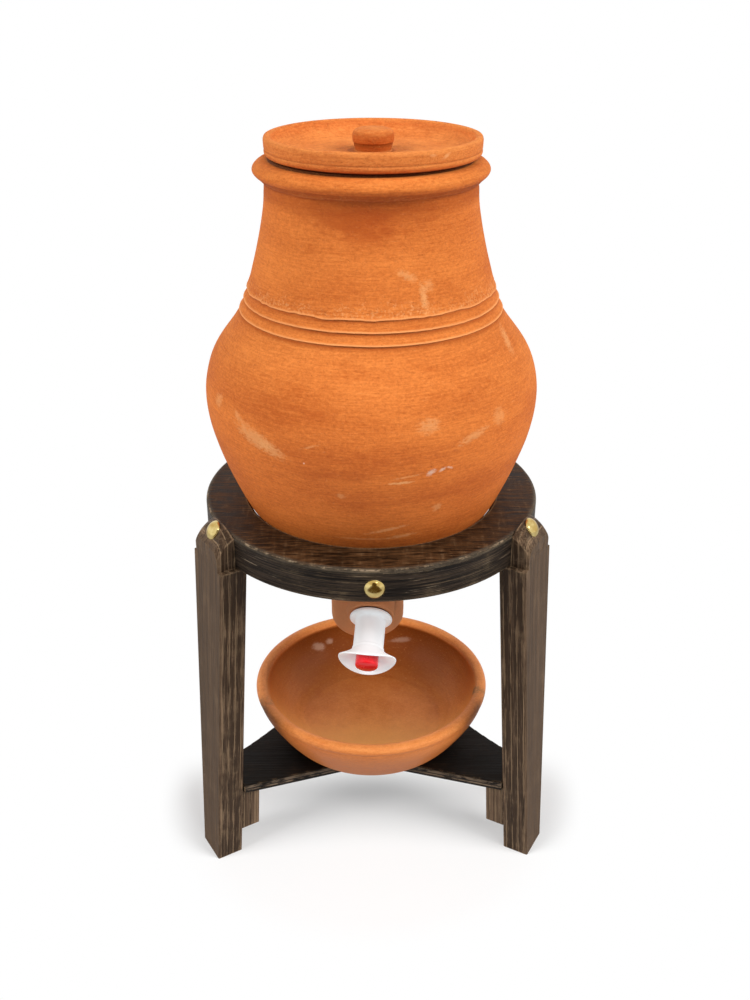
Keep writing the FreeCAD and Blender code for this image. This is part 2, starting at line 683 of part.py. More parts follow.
def guard_widths():
    """Half width at the guard's end that gives the tips their place after they are swept back."""
    tip_z = GUARD_LENGTH - GUARD_SWEEP
    slope = (GUARD_HALF_WIDTH - TAP_BEAD_RADIUS) / tip_z
    return TAP_BEAD_RADIUS + slope * GUARD_LENGTH


def guard():
    """The flared finger guard: lens-shaped mouth, side tips swept back."""
    wide = guard_widths()
    sweep_radius = GUARD_HALF_WIDTH ** 2 / (2 * GUARD_SWEEP)
    outside = Part.makeLoft([ellipse_wire(TAP_BEAD_RADIUS, TAP_BEAD_RADIUS, GUARD_START),
                             ellipse_wire(wide, GUARD_HALF_HEIGHT, GUARD_END)], True, True)
    inside = Part.makeLoft([ellipse_wire(POCKET_RADIUS, POCKET_RADIUS, GUARD_START),
                            ellipse_wire(wide - GUARD_WALL, GUARD_HALF_HEIGHT - GUARD_WALL, GUARD_END)],
                           True, True)
    keep = Part.makeCylinder(sweep_radius, LONG, Vector(0, -LONG / 2, GUARD_END - sweep_radius),
                             Vector(0, 1, 0))
    return outside.cut(inside).common(keep)


def spout():
    """The outlet under the barrel; it hangs upright when the tap is in place."""
    upright = Rotation(Vector(1, 0, 0), 90 - TAP_TILT)
    return Placement(Vector(0, 0, SPOUT_PLACE), upright)


def tap_body():
    """Tail, collar, barrel, bead, guard and spout in one moulding, bored for valve and button."""
    body = cylinder(TAP_TAIL_RADIUS, TAIL_END, 0)
    collar = cylinder(TAP_COLLAR_RADIUS, -TAP_COLLAR_THICKNESS, 0)
    collar = collar.makeFillet(TAP_COLLAR_ROUND, rims(collar, TAP_COLLAR_RADIUS, 0)
                               + rims(collar, TAP_COLLAR_RADIUS, -TAP_COLLAR_THICKNESS))
    bead = cylinder(TAP_BEAD_RADIUS, BEAD_START, GUARD_START)
    body = body.fuse([collar, cylinder(TAP_BARREL_RADIUS, 0, GUARD_START), bead, guard(),
                      placed(cylinder(SPOUT_RADIUS, 0, SPOUT_DROP), spout())])
    bores = [cylinder(TAP_TAIL_BORE, TAIL_END, 0), cylinder(SEAT_HOLE_RADIUS, 0, SEAT_WEB),
             cylinder(CHAMBER_RADIUS, SEAT_WEB, CHAMBER_END),
             cylinder(STEM_RADIUS + STEM_FIT, CHAMBER_END, POCKET_FLOOR),
             cylinder(POCKET_RADIUS, POCKET_FLOOR, GUARD_START),
             placed(cylinder(SPOUT_BORE, 0, SPOUT_DROP), spout()), oring_groove()]
    for bore in bores:
        body = body.cut(bore)
    return body


def oring_places():
    """Middle radius and height of the stem's O-ring."""
    return STEM_RADIUS + STEM_FIT + ORING_RADIUS, (CHAMBER_END + POCKET_FLOOR) / 2


def oring_groove():
    radius, z = oring_places()
    half = ORING_RADIUS + HOLE_CLEARANCE
    return tube(radius + half, STEM_RADIUS, z - half, z + half)


def stem_oring():
    radius, z = oring_places()
    return Part.makeTorus(radius, ORING_RADIUS, Vector(0, 0, z), UP)


def outer_washer():
    return tube(OUTER_WASHER_RADIUS, TAP_TAIL_RADIUS + HOLE_CLEARANCE, CLAY_FACE, -TAP_COLLAR_THICKNESS)


def inner_washer():
    return tube(INNER_WASHER_RADIUS, TAP_TAIL_RADIUS + HOLE_CLEARANCE, NUT_FACE, CLAY_BACK)


def back_nut():
    """A hexagon nut on the tail, inside the pot."""
    corner = NUT_FLATS / 2 / math.cos(math.radians(30))
    corners = [Vector(corner * math.cos(math.radians(60 * i)), corner * math.sin(math.radians(60 * i)),
                      NUT_FACE - NUT_THICKNESS) for i in range(7)]
    block = Part.Face(Part.makePolygon(corners)).extrude(Vector(0, 0, NUT_THICKNESS))
    return block.cut(cylinder(TAP_TAIL_RADIUS + HOLE_CLEARANCE, NUT_FACE - NUT_THICKNESS, NUT_FACE))


def button():
    """The push button: a crowned cup with a boss for the stem."""
    crown_radius = (BUTTON_RADIUS ** 2 + BUTTON_CROWN ** 2) / (2 * BUTTON_CROWN)
    ball = Part.makeSphere(crown_radius, Vector(0, 0, BUTTON_TOP - crown_radius))
    cup = cylinder(BUTTON_RADIUS, BUTTON_SKIRT, BUTTON_TOP).common(ball)
    cup = cup.cut(cylinder(BUTTON_RADIUS - BUTTON_WALL, BUTTON_SKIRT, BUTTON_CEILING))
    cup = cup.fuse(cylinder(BUTTON_BOSS_RADIUS, BUTTON_SKIRT, BUTTON_CEILING))
    return cup.cut(cylinder(STEM_RADIUS + SOCKET_FIT, BUTTON_SKIRT, BUTTON_CEILING)).removeSplitter()


def stem():
    """The rod from the button's boss to the seal."""
    return cylinder(STEM_RADIUS, -SEAL_THICKNESS, BUTTON_CEILING)


def valve_seal():
    """The rubber disc that closes the seat from the pot's side."""
    return tube(SEAL_RADIUS, STEM_RADIUS + SOCKET_FIT, -SEAL_THICKNESS, 0)


def return_spring():
    """The coil that pushes the button out, between the pocket's floor and the button's ceiling."""
    bottom = POCKET_FLOOR + SPRING_WIRE_RADIUS + SPRING_END_GAP
    top = BUTTON_CEILING - SPRING_WIRE_RADIUS - SPRING_END_GAP
    pitch = (top - bottom) / SPRING_TURNS
    helix = Part.makeHelix(pitch, top - bottom, SPRING_MEAN_RADIUS)
    start = Vector(SPRING_MEAN_RADIUS, 0, 0)
    along = Vector(0, 2 * math.pi * SPRING_MEAN_RADIUS, pitch)
    section = Part.Wire(Part.makeCircle(SPRING_WIRE_RADIUS, start, along))
    coil = Part.Wire(helix.Edges).makePipeShell([section], True, True)
    coil.translate(Vector(0, 0, bottom))
    return coil


# ---- write one file for each node ----
def nodes():
    """Every node's name and shape, in place."""
    made = {"ring": ring(), "shelf": shelf()}
    for name, angle in zip(LEG_NAMES, leg_angles()):
        made["leg_" + name] = turned(leg(), angle)
        made["cleat_" + name] = turned(cleat(), angle)
    made["leg_studs"] = ring_of([placed(dome_stud(LEG_STUD_LENGTH), leg_stud_place())], leg_angles())
    made["rim_studs"] = ring_of([rim_stud()], between_leg_angles())
    made["cleat_screws"] = ring_of(cleat_screws_at_x(), leg_angles())
    made["shelf_screws"] = ring_of([shelf_screw_at_x()], leg_angles())
    made["pot"] = pot()
    made["lid"] = lid()
    made["drip_bowl"] = bowl()
    on_axis = {"tap_body": tap_body, "tap_outer_washer": outer_washer, "tap_inner_washer": inner_washer,
               "tap_back_nut": back_nut, "tap_stem_oring": stem_oring, "tap_button": button,
               "tap_stem": stem, "tap_valve_seal": valve_seal, "tap_return_spring": return_spring}
    for name, make in on_axis.items():
        made[name] = on_tap(make())
    return made


os.makedirs("parts", exist_ok=True)
for name, shape in nodes().items():
    shape.exportStep("parts/" + name + ".step")
    print(name, shape.ShapeType, len(shape.Solids), "valid" if shape.isValid() else "NOT VALID",
          round(shape.Volume / 1000.0, 2), "cm3")
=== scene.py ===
# %% [markdown]
# # A clay water pot with a tap, on its plywood stand
# The pot hangs by its cone in a wooden ring, three legs carry the ring, and a three-armed shelf ties the
# legs and holds a drip bowl. The frame gives every node where it belongs, so the work here is in the
# surfaces: hand-thrown clay, stained plywood with worn edges, brass domes and a white moulded tap.

import math

import bmesh
import bpy
import numpy as np
from mathutils import Matrix, Vector


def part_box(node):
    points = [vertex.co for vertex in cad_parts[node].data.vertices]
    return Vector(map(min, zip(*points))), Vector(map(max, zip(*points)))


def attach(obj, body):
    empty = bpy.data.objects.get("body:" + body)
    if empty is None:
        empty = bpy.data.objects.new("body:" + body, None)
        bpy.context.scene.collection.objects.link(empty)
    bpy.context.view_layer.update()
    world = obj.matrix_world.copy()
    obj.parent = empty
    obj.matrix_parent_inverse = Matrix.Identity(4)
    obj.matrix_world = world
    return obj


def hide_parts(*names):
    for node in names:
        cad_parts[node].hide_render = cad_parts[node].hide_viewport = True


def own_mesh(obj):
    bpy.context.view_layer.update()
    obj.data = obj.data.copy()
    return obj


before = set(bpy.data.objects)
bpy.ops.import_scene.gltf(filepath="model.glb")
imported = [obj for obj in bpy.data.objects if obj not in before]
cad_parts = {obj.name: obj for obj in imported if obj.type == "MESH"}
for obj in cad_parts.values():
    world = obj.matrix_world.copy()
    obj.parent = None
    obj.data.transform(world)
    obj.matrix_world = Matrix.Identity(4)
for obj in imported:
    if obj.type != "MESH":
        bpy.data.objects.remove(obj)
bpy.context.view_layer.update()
MM = 0.001
RING_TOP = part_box("ring")[1].z
SHELF_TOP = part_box("shelf")[1].z

# %% [markdown]
# ## Where the camera stands
# The camera looks down on the pot from the front. It is placed from three plain facts: how far it is from
# the pot's axis, how high it is, and how far it looks down. It stands one degree to the left of straight in
# front, and a small shift puts the axis a little left of the middle of the frame.

# %% Camera
CAMERA_DISTANCE = 0.8344      # from the pot's axis, along the floor
CAMERA_SIDE = math.radians(1.0)   # to the left of straight in front
CAMERA_HEIGHT = 0.7388
CAMERA_DOWN = math.radians(27.2)
FOCAL_PIXELS = 1105.0         # focal length, in pixels of a frame 1000 high
FRAME_HEIGHT = 1000.0
AXIS_LEFT = 3.7               # pixels by which the pot's axis is left of the middle

camera_data = bpy.data.cameras.new("camera")
camera_data.sensor_fit = "VERTICAL"
camera_data.sensor_height = 36.0
camera_data.lens = camera_data.sensor_height * FOCAL_PIXELS / FRAME_HEIGHT
camera_data.shift_x = AXIS_LEFT / FRAME_HEIGHT
camera = bpy.data.objects.new("camera", camera_data)
camera.location = (-CAMERA_DISTANCE * math.sin(CAMERA_SIDE), -CAMERA_DISTANCE * math.cos(CAMERA_SIDE),
                   CAMERA_HEIGHT)
camera.rotation_euler = (math.radians(90) - CAMERA_DOWN, 0, -CAMERA_SIDE)
bpy.context.collection.objects.link(camera)
bpy.context.scene.camera = camera
print("lens", round(camera_data.lens, 2))

# %% [markdown]
# ## Shader nodes in few words
# A material is a small program of nodes. These helpers add one node and wire it in a single call, so that
# a finish reads as a list of its steps. A value may be a number, a colour or another node's output.

# %% Node helpers
def linear(red, green, blue):
    """A colour given as 0 to 255 screen values, turned into the linear light that shaders work in."""
    screen = np.array([red, green, blue]) / 255.0
    light = np.where(screen <= 0.04045, screen / 12.92, ((screen + 0.055) / 1.055) ** 2.4)
    return (*[float(v) for v in light], 1.0)


def node(tree, kind, inputs=None, **settings):
    """Adds one shader node; inputs are keyed by name or by number."""
    made = tree.nodes.new("ShaderNode" + kind)
    for name, value in settings.items():
        setattr(made, name, value)
    for key, value in (inputs or {}).items():
        if isinstance(value, bpy.types.NodeSocket):
            tree.links.new(value, made.inputs[key])
        else:
            made.inputs[key].default_value = value
    return made


def maths(tree, operation, *values):
    return node(tree, "Math", dict(enumerate(values)), operation=operation).outputs[0]


def times(tree, first, *others):
    """The product of all the values."""
    for other in others:
        first = maths(tree, "MULTIPLY", first, other)
    return first


def plus(tree, first, *others):
    """The sum of all the values."""
    for other in others:
        first = maths(tree, "ADD", first, other)
    return first


def minus(tree, first, second):
    return maths(tree, "SUBTRACT", first, second)


def hypotenuse(tree, first, second):
    """The root of the sum of both squares."""
    return maths(tree, "SQRT", plus(tree, times(tree, first, first), times(tree, second, second)))


def parts_of(tree, place):
    """The X, Y and Z of a place."""
    return node(tree, "SeparateXYZ", {0: place}).outputs


def ranged(tree, value, low, high, to_low=0.0, to_high=1.0):
    """Eases a value from to_low to to_high while it goes from low to high."""
    made = node(tree, "MapRange", {"Value": value, "From Min": low, "From Max": high, "To Min": to_low,
                                   "To Max": to_high}, interpolation_type="SMOOTHSTEP")
    return made.outputs["Result"]


def mixed(tree, factor, first, second, mode="MIX"):
    """Mixes two colours."""
    return node(tree, "Mix", {0: factor, 6: first, 7: second}, data_type="RGBA",
                blend_type=mode).outputs[2]


def scaled(tree, vector, scale, place=(0, 0, 0)):
    """Stretches a pattern and moves it."""
    return node(tree, "Mapping", {"Vector": vector, "Scale": scale, "Location": place}).outputs[0]


def about_z(tree, vector, angle):
    """A place turned about the upright axis."""
    return node(tree, "VectorRotate", {"Vector": vector, "Angle": angle}, rotation_type="Z_AXIS").outputs[0]


def noise(tree, vector, scale, detail=4.0, roughness=0.55):
    return node(tree, "TexNoise", {"Vector": vector, "Scale": scale, "Detail": detail,
                                   "Roughness": roughness}).outputs["Fac"]


def patches(tree, place, stretch, scale, low, high, detail=4.0, roughness=0.55):
    """Broken patches: noise stretched by stretch, as a mask that rises from 0 at low to 1 at high."""
    if stretch:
        place = scaled(tree, place, stretch)
    return ranged(tree, noise(tree, place, scale, detail, roughness), low, high)


def dot(tree, first, second):
    """How far two directions agree."""
    return node(tree, "VectorMath", {0: first, 1: second}, operation="DOT_PRODUCT").outputs["Value"]


def object_place(tree):
    """Where a point is in the part's own frame, in metres."""
    return node(tree, "TexCoord").outputs["Object"]


def new_group(name, inputs, outputs):
    """A node group with typed sockets; returns the tree, its input node and its output node."""
    tree = bpy.data.node_groups.new(name, "ShaderNodeTree")
    kinds = {"value": "NodeSocketFloat", "vector": "NodeSocketVector"}
    for label, kind, default in inputs:
        made = tree.interface.new_socket(label, in_out="INPUT", socket_type=kinds[kind])
        if default is not None:
            made.default_value = default
    for label, kind in outputs:
        tree.interface.new_socket(label, in_out="OUTPUT", socket_type=kinds[kind])
    return tree, tree.nodes.new("NodeGroupInput"), tree.nodes.new("NodeGroupOutput")


def use_group(tree, group, inputs):
    made = node(tree, "Group")
    made.node_tree = group
    for name, value in inputs.items():
        if isinstance(value, bpy.types.NodeSocket):
            tree.links.new(value, made.inputs[name])
        else:
            made.inputs[name].default_value = value
    return made.outputs


def new_material(name, **shader_values):
    """A material with its shader; shader_values are set on the shader's own sockets."""
    material = bpy.data.materials.new(name)
    material.use_nodes = True
    tree = material.node_tree
    shader = tree.nodes["Principled BSDF"]
    for label, value in shader_values.items():
        shader.inputs[label.replace("_", " ")].default_value = value
    return material, tree, shader


def raise_surface(tree, shader, height, distance):
    """Bumps the surface: height 1 stands distance metres above height 0."""
    bump = node(tree, "Bump", {"Height": height, "Distance": distance, "Strength": 1.0})
    tree.links.new(bump.outputs[0], shader.inputs["Normal"])


print("a mid grey is", round(linear(128, 128, 128)[0], 3), "in linear light")

# %% [markdown]
# ## Light and floor
# Two suns as broad as large soft boxes stand at the front corners, the right one a little stronger, with a
# weak one between them, and the white floor throws light back up under the belly. The camera sees the floor
# as white paper: close in front of the stand its white is mostly the light that reaches it, so the shadow
# shows there, and further out its own white takes over, so that bare floor is exactly white. Polished metal
# needs something dark to mirror, so one dark card hangs behind the camera and one leans away below it,
# where only reflections can see them.

# %% Sky, suns, floor and cards
SKY_STRENGTH = 0.18
SUNS = [
    # name, azimuth, elevation, strength, breadth, seen in glossy surfaces
    ("right", -25, 35, 2.65, 32, False),
    ("left", -155, 35, 2.25, 32, False),
    ("front", -62, 50, 0.30, 14, True),
]
FLOOR_SIZE = 6.0
FLOOR_GIVES = 0.60            # how much of the light on it the floor gives back to the part
FLOOR_SHADED = 0.62           # the same as the camera sees it, where the shadow shows
SHADE_BACK, SHADE_FRONT = 0.050, -0.020    # along Y, where the shadow fades out and where it is full
SHADE_FAR, SHADE_NEAR = 0.205, 0.165        # and by distance from the pot's axis
# the dull brown of the cards, which the brass mirrors as a staged dark reflection
CARD_COLOUR = (0.13, 0.085, 0.035, 1)
CARD_SIZE, LOW_CARD_SIZE = 0.55, 1.0
LOW_CARD_PLACE = (0.0, -0.84, 0.30)
LOW_CARD_TILT = math.radians(144)


def sky(strength):
    """A white world; the camera and mirror-like surfaces see it as plain white."""
    world = bpy.data.worlds.new("white_studio")
    world.use_nodes = True
    tree = world.node_tree
    path = node(tree, "LightPath")
    seen = maths(tree, "MAXIMUM", path.outputs["Is Camera Ray"], path.outputs["Is Transmission Ray"])
    seen = maths(tree, "MAXIMUM", seen, path.outputs["Is Glossy Ray"])
    lit = plus(tree, times(tree, seen, 1.0 - strength), strength)
    tree.links.new(lit, tree.nodes["Background"].inputs["Strength"])
    tree.nodes["Background"].inputs["Color"].default_value = (1, 1, 1, 1)
    bpy.context.scene.world = world


def sun(name, azimuth, elevation, strength, breadth, mirrored):
    """A sun seen from the part at that azimuth and elevation, in degrees."""
    data = bpy.data.lights.new(name, "SUN")
    data.energy = strength
    data.angle = math.radians(breadth)
    lamp = bpy.data.objects.new(name, data)
    lamp.rotation_euler = (math.radians(90 - elevation), 0, math.radians(azimuth + 90))
    lamp.visible_glossy = mirrored
    bpy.context.collection.objects.link(lamp)


def flat_square(name, half):
    mesh = bpy.data.meshes.new(name)
    corners = [(-half, -half, 0), (half, -half, 0), (half, half, 0), (-half, half, 0)]
    mesh.from_pydata(corners, [], [(0, 1, 2, 3)])
    made = bpy.data.objects.new(name, mesh)
    bpy.context.collection.objects.link(made)
    return made


def bare_material(name):
    """A material with no shader yet: itself, its tree and the socket that takes its surface."""
    material = bpy.data.materials.new(name)
    material.use_nodes = True
    tree = material.node_tree
    tree.nodes.remove(tree.nodes["Principled BSDF"])
    return material, tree, tree.nodes["Material Output"].inputs["Surface"]


def light_on_floor():
    """What reaches bare floor: the sky, and each sun by the sine of its elevation."""
    suns = sum(strength * math.sin(math.radians(elevation)) for _, _, elevation, strength, _, _ in SUNS)
    return SKY_STRENGTH + suns / math.pi


def paper_floor():
    floor = flat_square("floor", FLOOR_SIZE / 2)
    material, tree, surface = bare_material("white_paper")
    seen = node(tree, "LightPath").outputs["Is Camera Ray"]
    place = object_place(tree)
    away = node(tree, "VectorMath", {0: place}, operation="LENGTH").outputs["Value"]
    shown = times(tree, ranged(tree, parts_of(tree, place)[1], SHADE_BACK, SHADE_FRONT),
                  ranged(tree, away, SHADE_FAR, SHADE_NEAR))
    share = times(tree, shown, FLOOR_SHADED)
    own = minus(tree, 1.0, times(tree, share, light_on_floor()))
    glow = node(tree, "Emission", {"Color": (1, 1, 1, 1), "Strength": times(tree, seen, own)})
    gives = plus(tree, times(tree, seen, share), times(tree, minus(tree, 1.0, seen), FLOOR_GIVES))
    grey = node(tree, "CombineColor", {0: gives, 1: gives, 2: gives}).outputs[0]
    paper = node(tree, "BsdfDiffuse", {"Color": grey})
    both = node(tree, "AddShader", {0: glow.outputs[0], 1: paper.outputs[0]})
    tree.links.new(both.outputs[0], surface)
    floor.data.materials.append(material)


def dark_card(name, size, matrix):
    """A dark card that only reflections see; it neither lights nor shades anything."""
    card = flat_square(name, size / 2)
    card.matrix_world = matrix
    card.visible_camera = card.visible_diffuse = card.visible_shadow = False
    material, tree, surface = bare_material(name)
    dull = node(tree, "Emission", {"Color": CARD_COLOUR, "Strength": 1.0})
    tree.links.new(dull.outputs[0], surface)
    card.data.materials.append(material)


sky(SKY_STRENGTH)
for settings in SUNS:
    sun(*settings)
paper_floor()
bpy.context.view_layer.update()
dark_card("dark_card_behind", CARD_SIZE, camera.matrix_world @ Matrix.Translation((0, 0, 0.05)))
dark_card("dark_card_low", LOW_CARD_SIZE,
          Matrix.Translation(LOW_CARD_PLACE) @ Matrix.Rotation(LOW_CARD_TILT, 4, "X"))
bpy.context.scene.view_settings.view_transform = "Standard"
print("light on the floor", round(light_on_floor(), 3))

# %% [markdown]
# ## Surfaces from numpy
# A thrown pot is an outline turned about an axis. An outline is a list of (radius, height) points; a
# smooth one is a cubic spline, and a corner is softened by averaging neighbours, as a wet sponge does.
# Turning it gives a grid of points, rows along the outline and columns round the axis, which can be
# pushed about as whole arrays before it becomes a mesh.

# %% Outline and grid helpers
def smooth_through(points, start=None, end=None, spacing=2 * MM):
    """A curve through points. Between two neighbours each coordinate is a cubic in the chord length t:
    p(t) = blend of both points + blend of both slopes, with slopes chosen so that the bend never jumps."""
    points = np.array(points, float)
    chord = np.linalg.norm(np.diff(points, axis=0), axis=1)
    count = len(points)
    system = np.zeros((count, count))
    target = np.zeros((count, 2))
    for i in range(1, count - 1):
        before, after = chord[i - 1], chord[i]
        system[i, i - 1:i + 2] = 1 / before, 2 / before + 2 / after, 1 / after
        target[i] = 3 * ((points[i] - points[i - 1]) / before ** 2 + (points[i + 1] - points[i]) / after ** 2)
    for row, inner, step, slope in ((0, 1, chord[0], start), (count - 1, count - 2, chord[-1], end)):
        if slope is None:
            system[row, row], system[row, inner] = 2, 1
            target[row] = 3 * (points[max(row, inner)] - points[min(row, inner)]) / step
        else:
            system[row, row] = 1
            target[row] = np.array(slope) / np.linalg.norm(slope)
    slopes = np.linalg.solve(system, target)
    parts = []
    for i in range(count - 1):
        t = np.linspace(0, 1, max(2, int(chord[i] / spacing) + 1), endpoint=False)[:, None]
        parts.append((1 + 2 * t) * (1 - t) ** 2 * points[i] + t ** 2 * (3 - 2 * t) * points[i + 1]
                     + t * (1 - t) ** 2 * chord[i] * slopes[i] - t ** 2 * (1 - t) * chord[i] * slopes[i + 1])
    return np.vstack(parts + [points[-1:]])


def quarter_round(level_end, upright_end, count=8):
    """A quarter of an ellipse, level at one end and upright at the other: x by cosine, height by sine."""
    (x0, z0), (x1, z1) = level_end, upright_end
    turn = np.linspace(0, np.pi / 2, count)
    return np.column_stack([x0 + (x1 - x0) * np.sin(turn), z1 + (z0 - z1) * np.cos(turn)])


def evened(outline, spacing):
    """The same line with its points evenly spread, at a spacing that may differ from place to place."""
    step = np.linalg.norm(np.diff(outline, axis=0), axis=1)
    keep = np.concatenate([[True], step > 1e-7])
    outline = outline[keep]
    along = np.concatenate([[0], np.cumsum(np.linalg.norm(np.diff(outline, axis=0), axis=1))])
    fine = np.linspace(0, along[-1], int(along[-1] / (0.1 * MM)))
    line = np.column_stack([np.interp(fine, along, outline[:, k]) for k in (0, 1)])
    density = np.cumsum(1 / spacing(line)) * (fine[1] - fine[0])
    places = np.interp(np.linspace(density[0], density[-1], int(density[-1]) + 2), density, fine)
    return np.column_stack([np.interp(places, fine, line[:, k]) for k in (0, 1)])


def softened(outline, reach, spacing=0.5 * MM):
    """Rounds every corner: each point becomes the mean of the line within reach of it; the ends stay."""
    line = evened(np.array(outline, float), lambda p: np.full(len(p), 0.2 * MM))
    width = max(1, int(reach / (0.2 * MM)))
    padded = np.vstack([2 * line[0] - line[width:0:-1], line, 2 * line[-1] - line[-2:-width - 2:-1]])
    window = np.hanning(2 * width + 3)[1:-1]
    smooth = np.column_stack([np.convolve(padded[:, k], window / window.sum(), "valid") for k in (0, 1)])
    return evened(smooth, lambda p: np.full(len(p), spacing))


def turned(outline, columns):
    """The grid of an outline turned round: x = radius cos(turn), y = radius sin(turn), z = height."""
    turn = np.linspace(0, 2 * np.pi, columns, endpoint=False)
    radius, height = outline[:, 0, None], outline[:, 1, None]
    return np.stack([radius * np.cos(turn), radius * np.sin(turn), height + 0 * turn], axis=-1), turn


def soft_noise(rows, columns, coarse_rows, coarse_columns, seed):
    """Random heights, about -1 to 1, on a coarse grid and eased between its points; joins round the turn."""
    coarse = np.random.default_rng(seed).uniform(-1, 1, (coarse_rows + 1, coarse_columns))

    def eased(count, cells, closed):
        at = np.linspace(0, cells, count, endpoint=not closed)
        low = np.minimum(at.astype(int), cells - 1)
        part = at - low
        return low, part * part * (3 - 2 * part)

    row, down = eased(rows, coarse_rows, False)
    column, across = eased(columns, coarse_columns, True)
    following = (column + 1) % coarse_columns
    upper = coarse[row][:, column] * (1 - across) + coarse[row][:, following] * across
    lower = coarse[row + 1][:, column] * (1 - across) + coarse[row + 1][:, following] * across
    return upper * (1 - down[:, None]) + lower * down[:, None]


def closed_mesh(name, grids):
    """A mesh from grids whose columns join up and whose first and last rows each close to one point."""
    points, faces = [], []
    offset = 0
    for grid in grids:
        rows, columns = grid.shape[:2]
        inner = grid[1:-1].reshape(-1, 3)
        points += [grid[0].mean(0)[None], inner, grid[-1].mean(0)[None]]
        index = offset + 1 + np.arange((rows - 2) * columns).reshape(rows - 2, columns)
        beside = np.roll(index, -1, axis=1)
        quads = np.stack([index[:-1], beside[:-1], beside[1:], index[1:]], axis=-1).reshape(-1, 4)
        first, last = offset, offset + 1 + len(inner)
        start_fan = np.stack([np.full(columns, first), beside[0], index[0]], axis=-1)
        end_fan = np.stack([np.full(columns, last), index[-1], beside[-1]], axis=-1)
        faces += quads.tolist() + start_fan.tolist() + end_fan.tolist()
        offset = last + 1
    mesh = bpy.data.meshes.new(name)
    mesh.from_pydata(np.vstack(points).tolist(), [], faces)
    edit = bmesh.new()
    edit.from_mesh(mesh)
    bmesh.ops.recalc_face_normals(edit, faces=edit.faces)
    edit.to_mesh(mesh)
    edit.free()
    mesh.polygons.foreach_set("use_smooth", np.ones(len(mesh.polygons), bool))
    return mesh


def piece(name, grids, material, body, replaced):
    """Puts a finished surface in the scene, on its body, in place of the nodes it stands for."""
    mesh = closed_mesh(name, grids)
    mesh.materials.append(material)
    made = bpy.data.objects.new(name, mesh)
    bpy.context.collection.objects.link(made)
    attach(made, body)
    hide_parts(*replaced)
    print(name, "faces", len(mesh.polygons))
    return made


def in_place(grid, matrix):
    """A grid moved by a 4 by 4 matrix."""
    turn = np.array(matrix)[:3, :3]
    return grid @ turn.T + np.array(matrix)[:3, 3]


quarter = evened(quarter_round((0, 0.01), (0.01, 0)), lambda line: np.full(len(line), MM))
print("a 10 mm quarter has", len(quarter), "points")

# %% [markdown]
# ## Effects that several finishes share
# Wear shows where hands and knocks reach: along edges. The Bevel node answers how far the surface turns
# nearby, so its normal against the true one marks every edge with no unwrapping. Fingers and ribs leave
# level streaks on thrown clay: noise stretched round the axis and packed tight up the height. A soft spot
# sits at a known turn and height on the pot, broken up by noise so that a scuff looks rubbed, not painted;
# the same spot also lays patches of painted shade and painted glints. Plywood is a solid pattern: sheets that
# differ in tone, dark glue joints between them, and grain along X. All of them read the part's own
# coordinates in metres.

# %% Shared node groups
def worn_edge_group():
    """Mask that is 1 on edges and 0 on flats, broken up by noise."""
    tree, given, result = new_group(
        "worn_edges",
        [("Vector", "vector", None), ("Width", "value", 0.002), ("Breakup", "value", 60.0),
         ("Amount", "value", 0.5)],
        [("Mask", "value")])
    bevel = node(tree, "Bevel", {"Radius": given.outputs["Width"]}, samples=6)
    true_normal = node(tree, "NewGeometry").outputs["Normal"]
    edge = ranged(tree, dot(tree, bevel.outputs[0], true_normal), 0.995, 0.90)
    breakup = noise(tree, given.outputs["Vector"], given.outputs["Breakup"], detail=5, roughness=0.65)
    shifted = plus(tree, breakup, minus(tree, given.outputs["Amount"], 0.5))
    kept = ranged(tree, shifted, 0.45, 0.62)
    tree.links.new(times(tree, edge, kept), result.inputs["Mask"])
    return tree


def thrown_group():
    """Marks of throwing and firing: Tone (0 to 1), thin level Scratches, and a Height."""
    tree, given, result = new_group(
        "thrown_marks",
        [("Vector", "vector", None), ("Scratched", "value", 0.5)],
        [("Tone", "value"), ("Scratches", "value"), ("Height", "value")])
    place = given.outputs["Vector"]
    clouds = noise(tree, scaled(tree, place, (1, 1, 2.2)), 13.0, detail=3)
    bands = noise(tree, scaled(tree, place, (4, 4, 75)), 1.0, detail=3)
    mottle = noise(tree, scaled(tree, place, (1, 1, 1.6)), 330.0, detail=6, roughness=0.85)
    streaks = noise(tree, scaled(tree, place, (60, 60, 900)), 1.0, detail=4, roughness=0.7)
    tone = -0.37
    for part, share in ((clouds, 0.34), (bands, 0.22), (mottle, 0.74), (streaks, 0.44)):
        tone = plus(tree, tone, times(tree, part, share))
    lines = patches(tree, place, (22, 22, 1500), 1.0, 0.62, 0.74, detail=2)
    broken = patches(tree, place, (90, 90, 300), 1.0, minus(tree, 1.0, given.outputs["Scratched"]), 0.78,
                     roughness=0.7)
    pits = patches(tree, place, None, 620.0, 0.30, 0.42, detail=2)
    height = plus(tree, times(tree, mottle, 0.40), times(tree, streaks, 0.25))
    height = plus(tree, height, times(tree, pits, 0.35))
    tree.links.new(tone, result.inputs["Tone"])
    tree.links.new(times(tree, lines, broken), result.inputs["Scratches"])
    tree.links.new(height, result.inputs["Height"])
    return tree


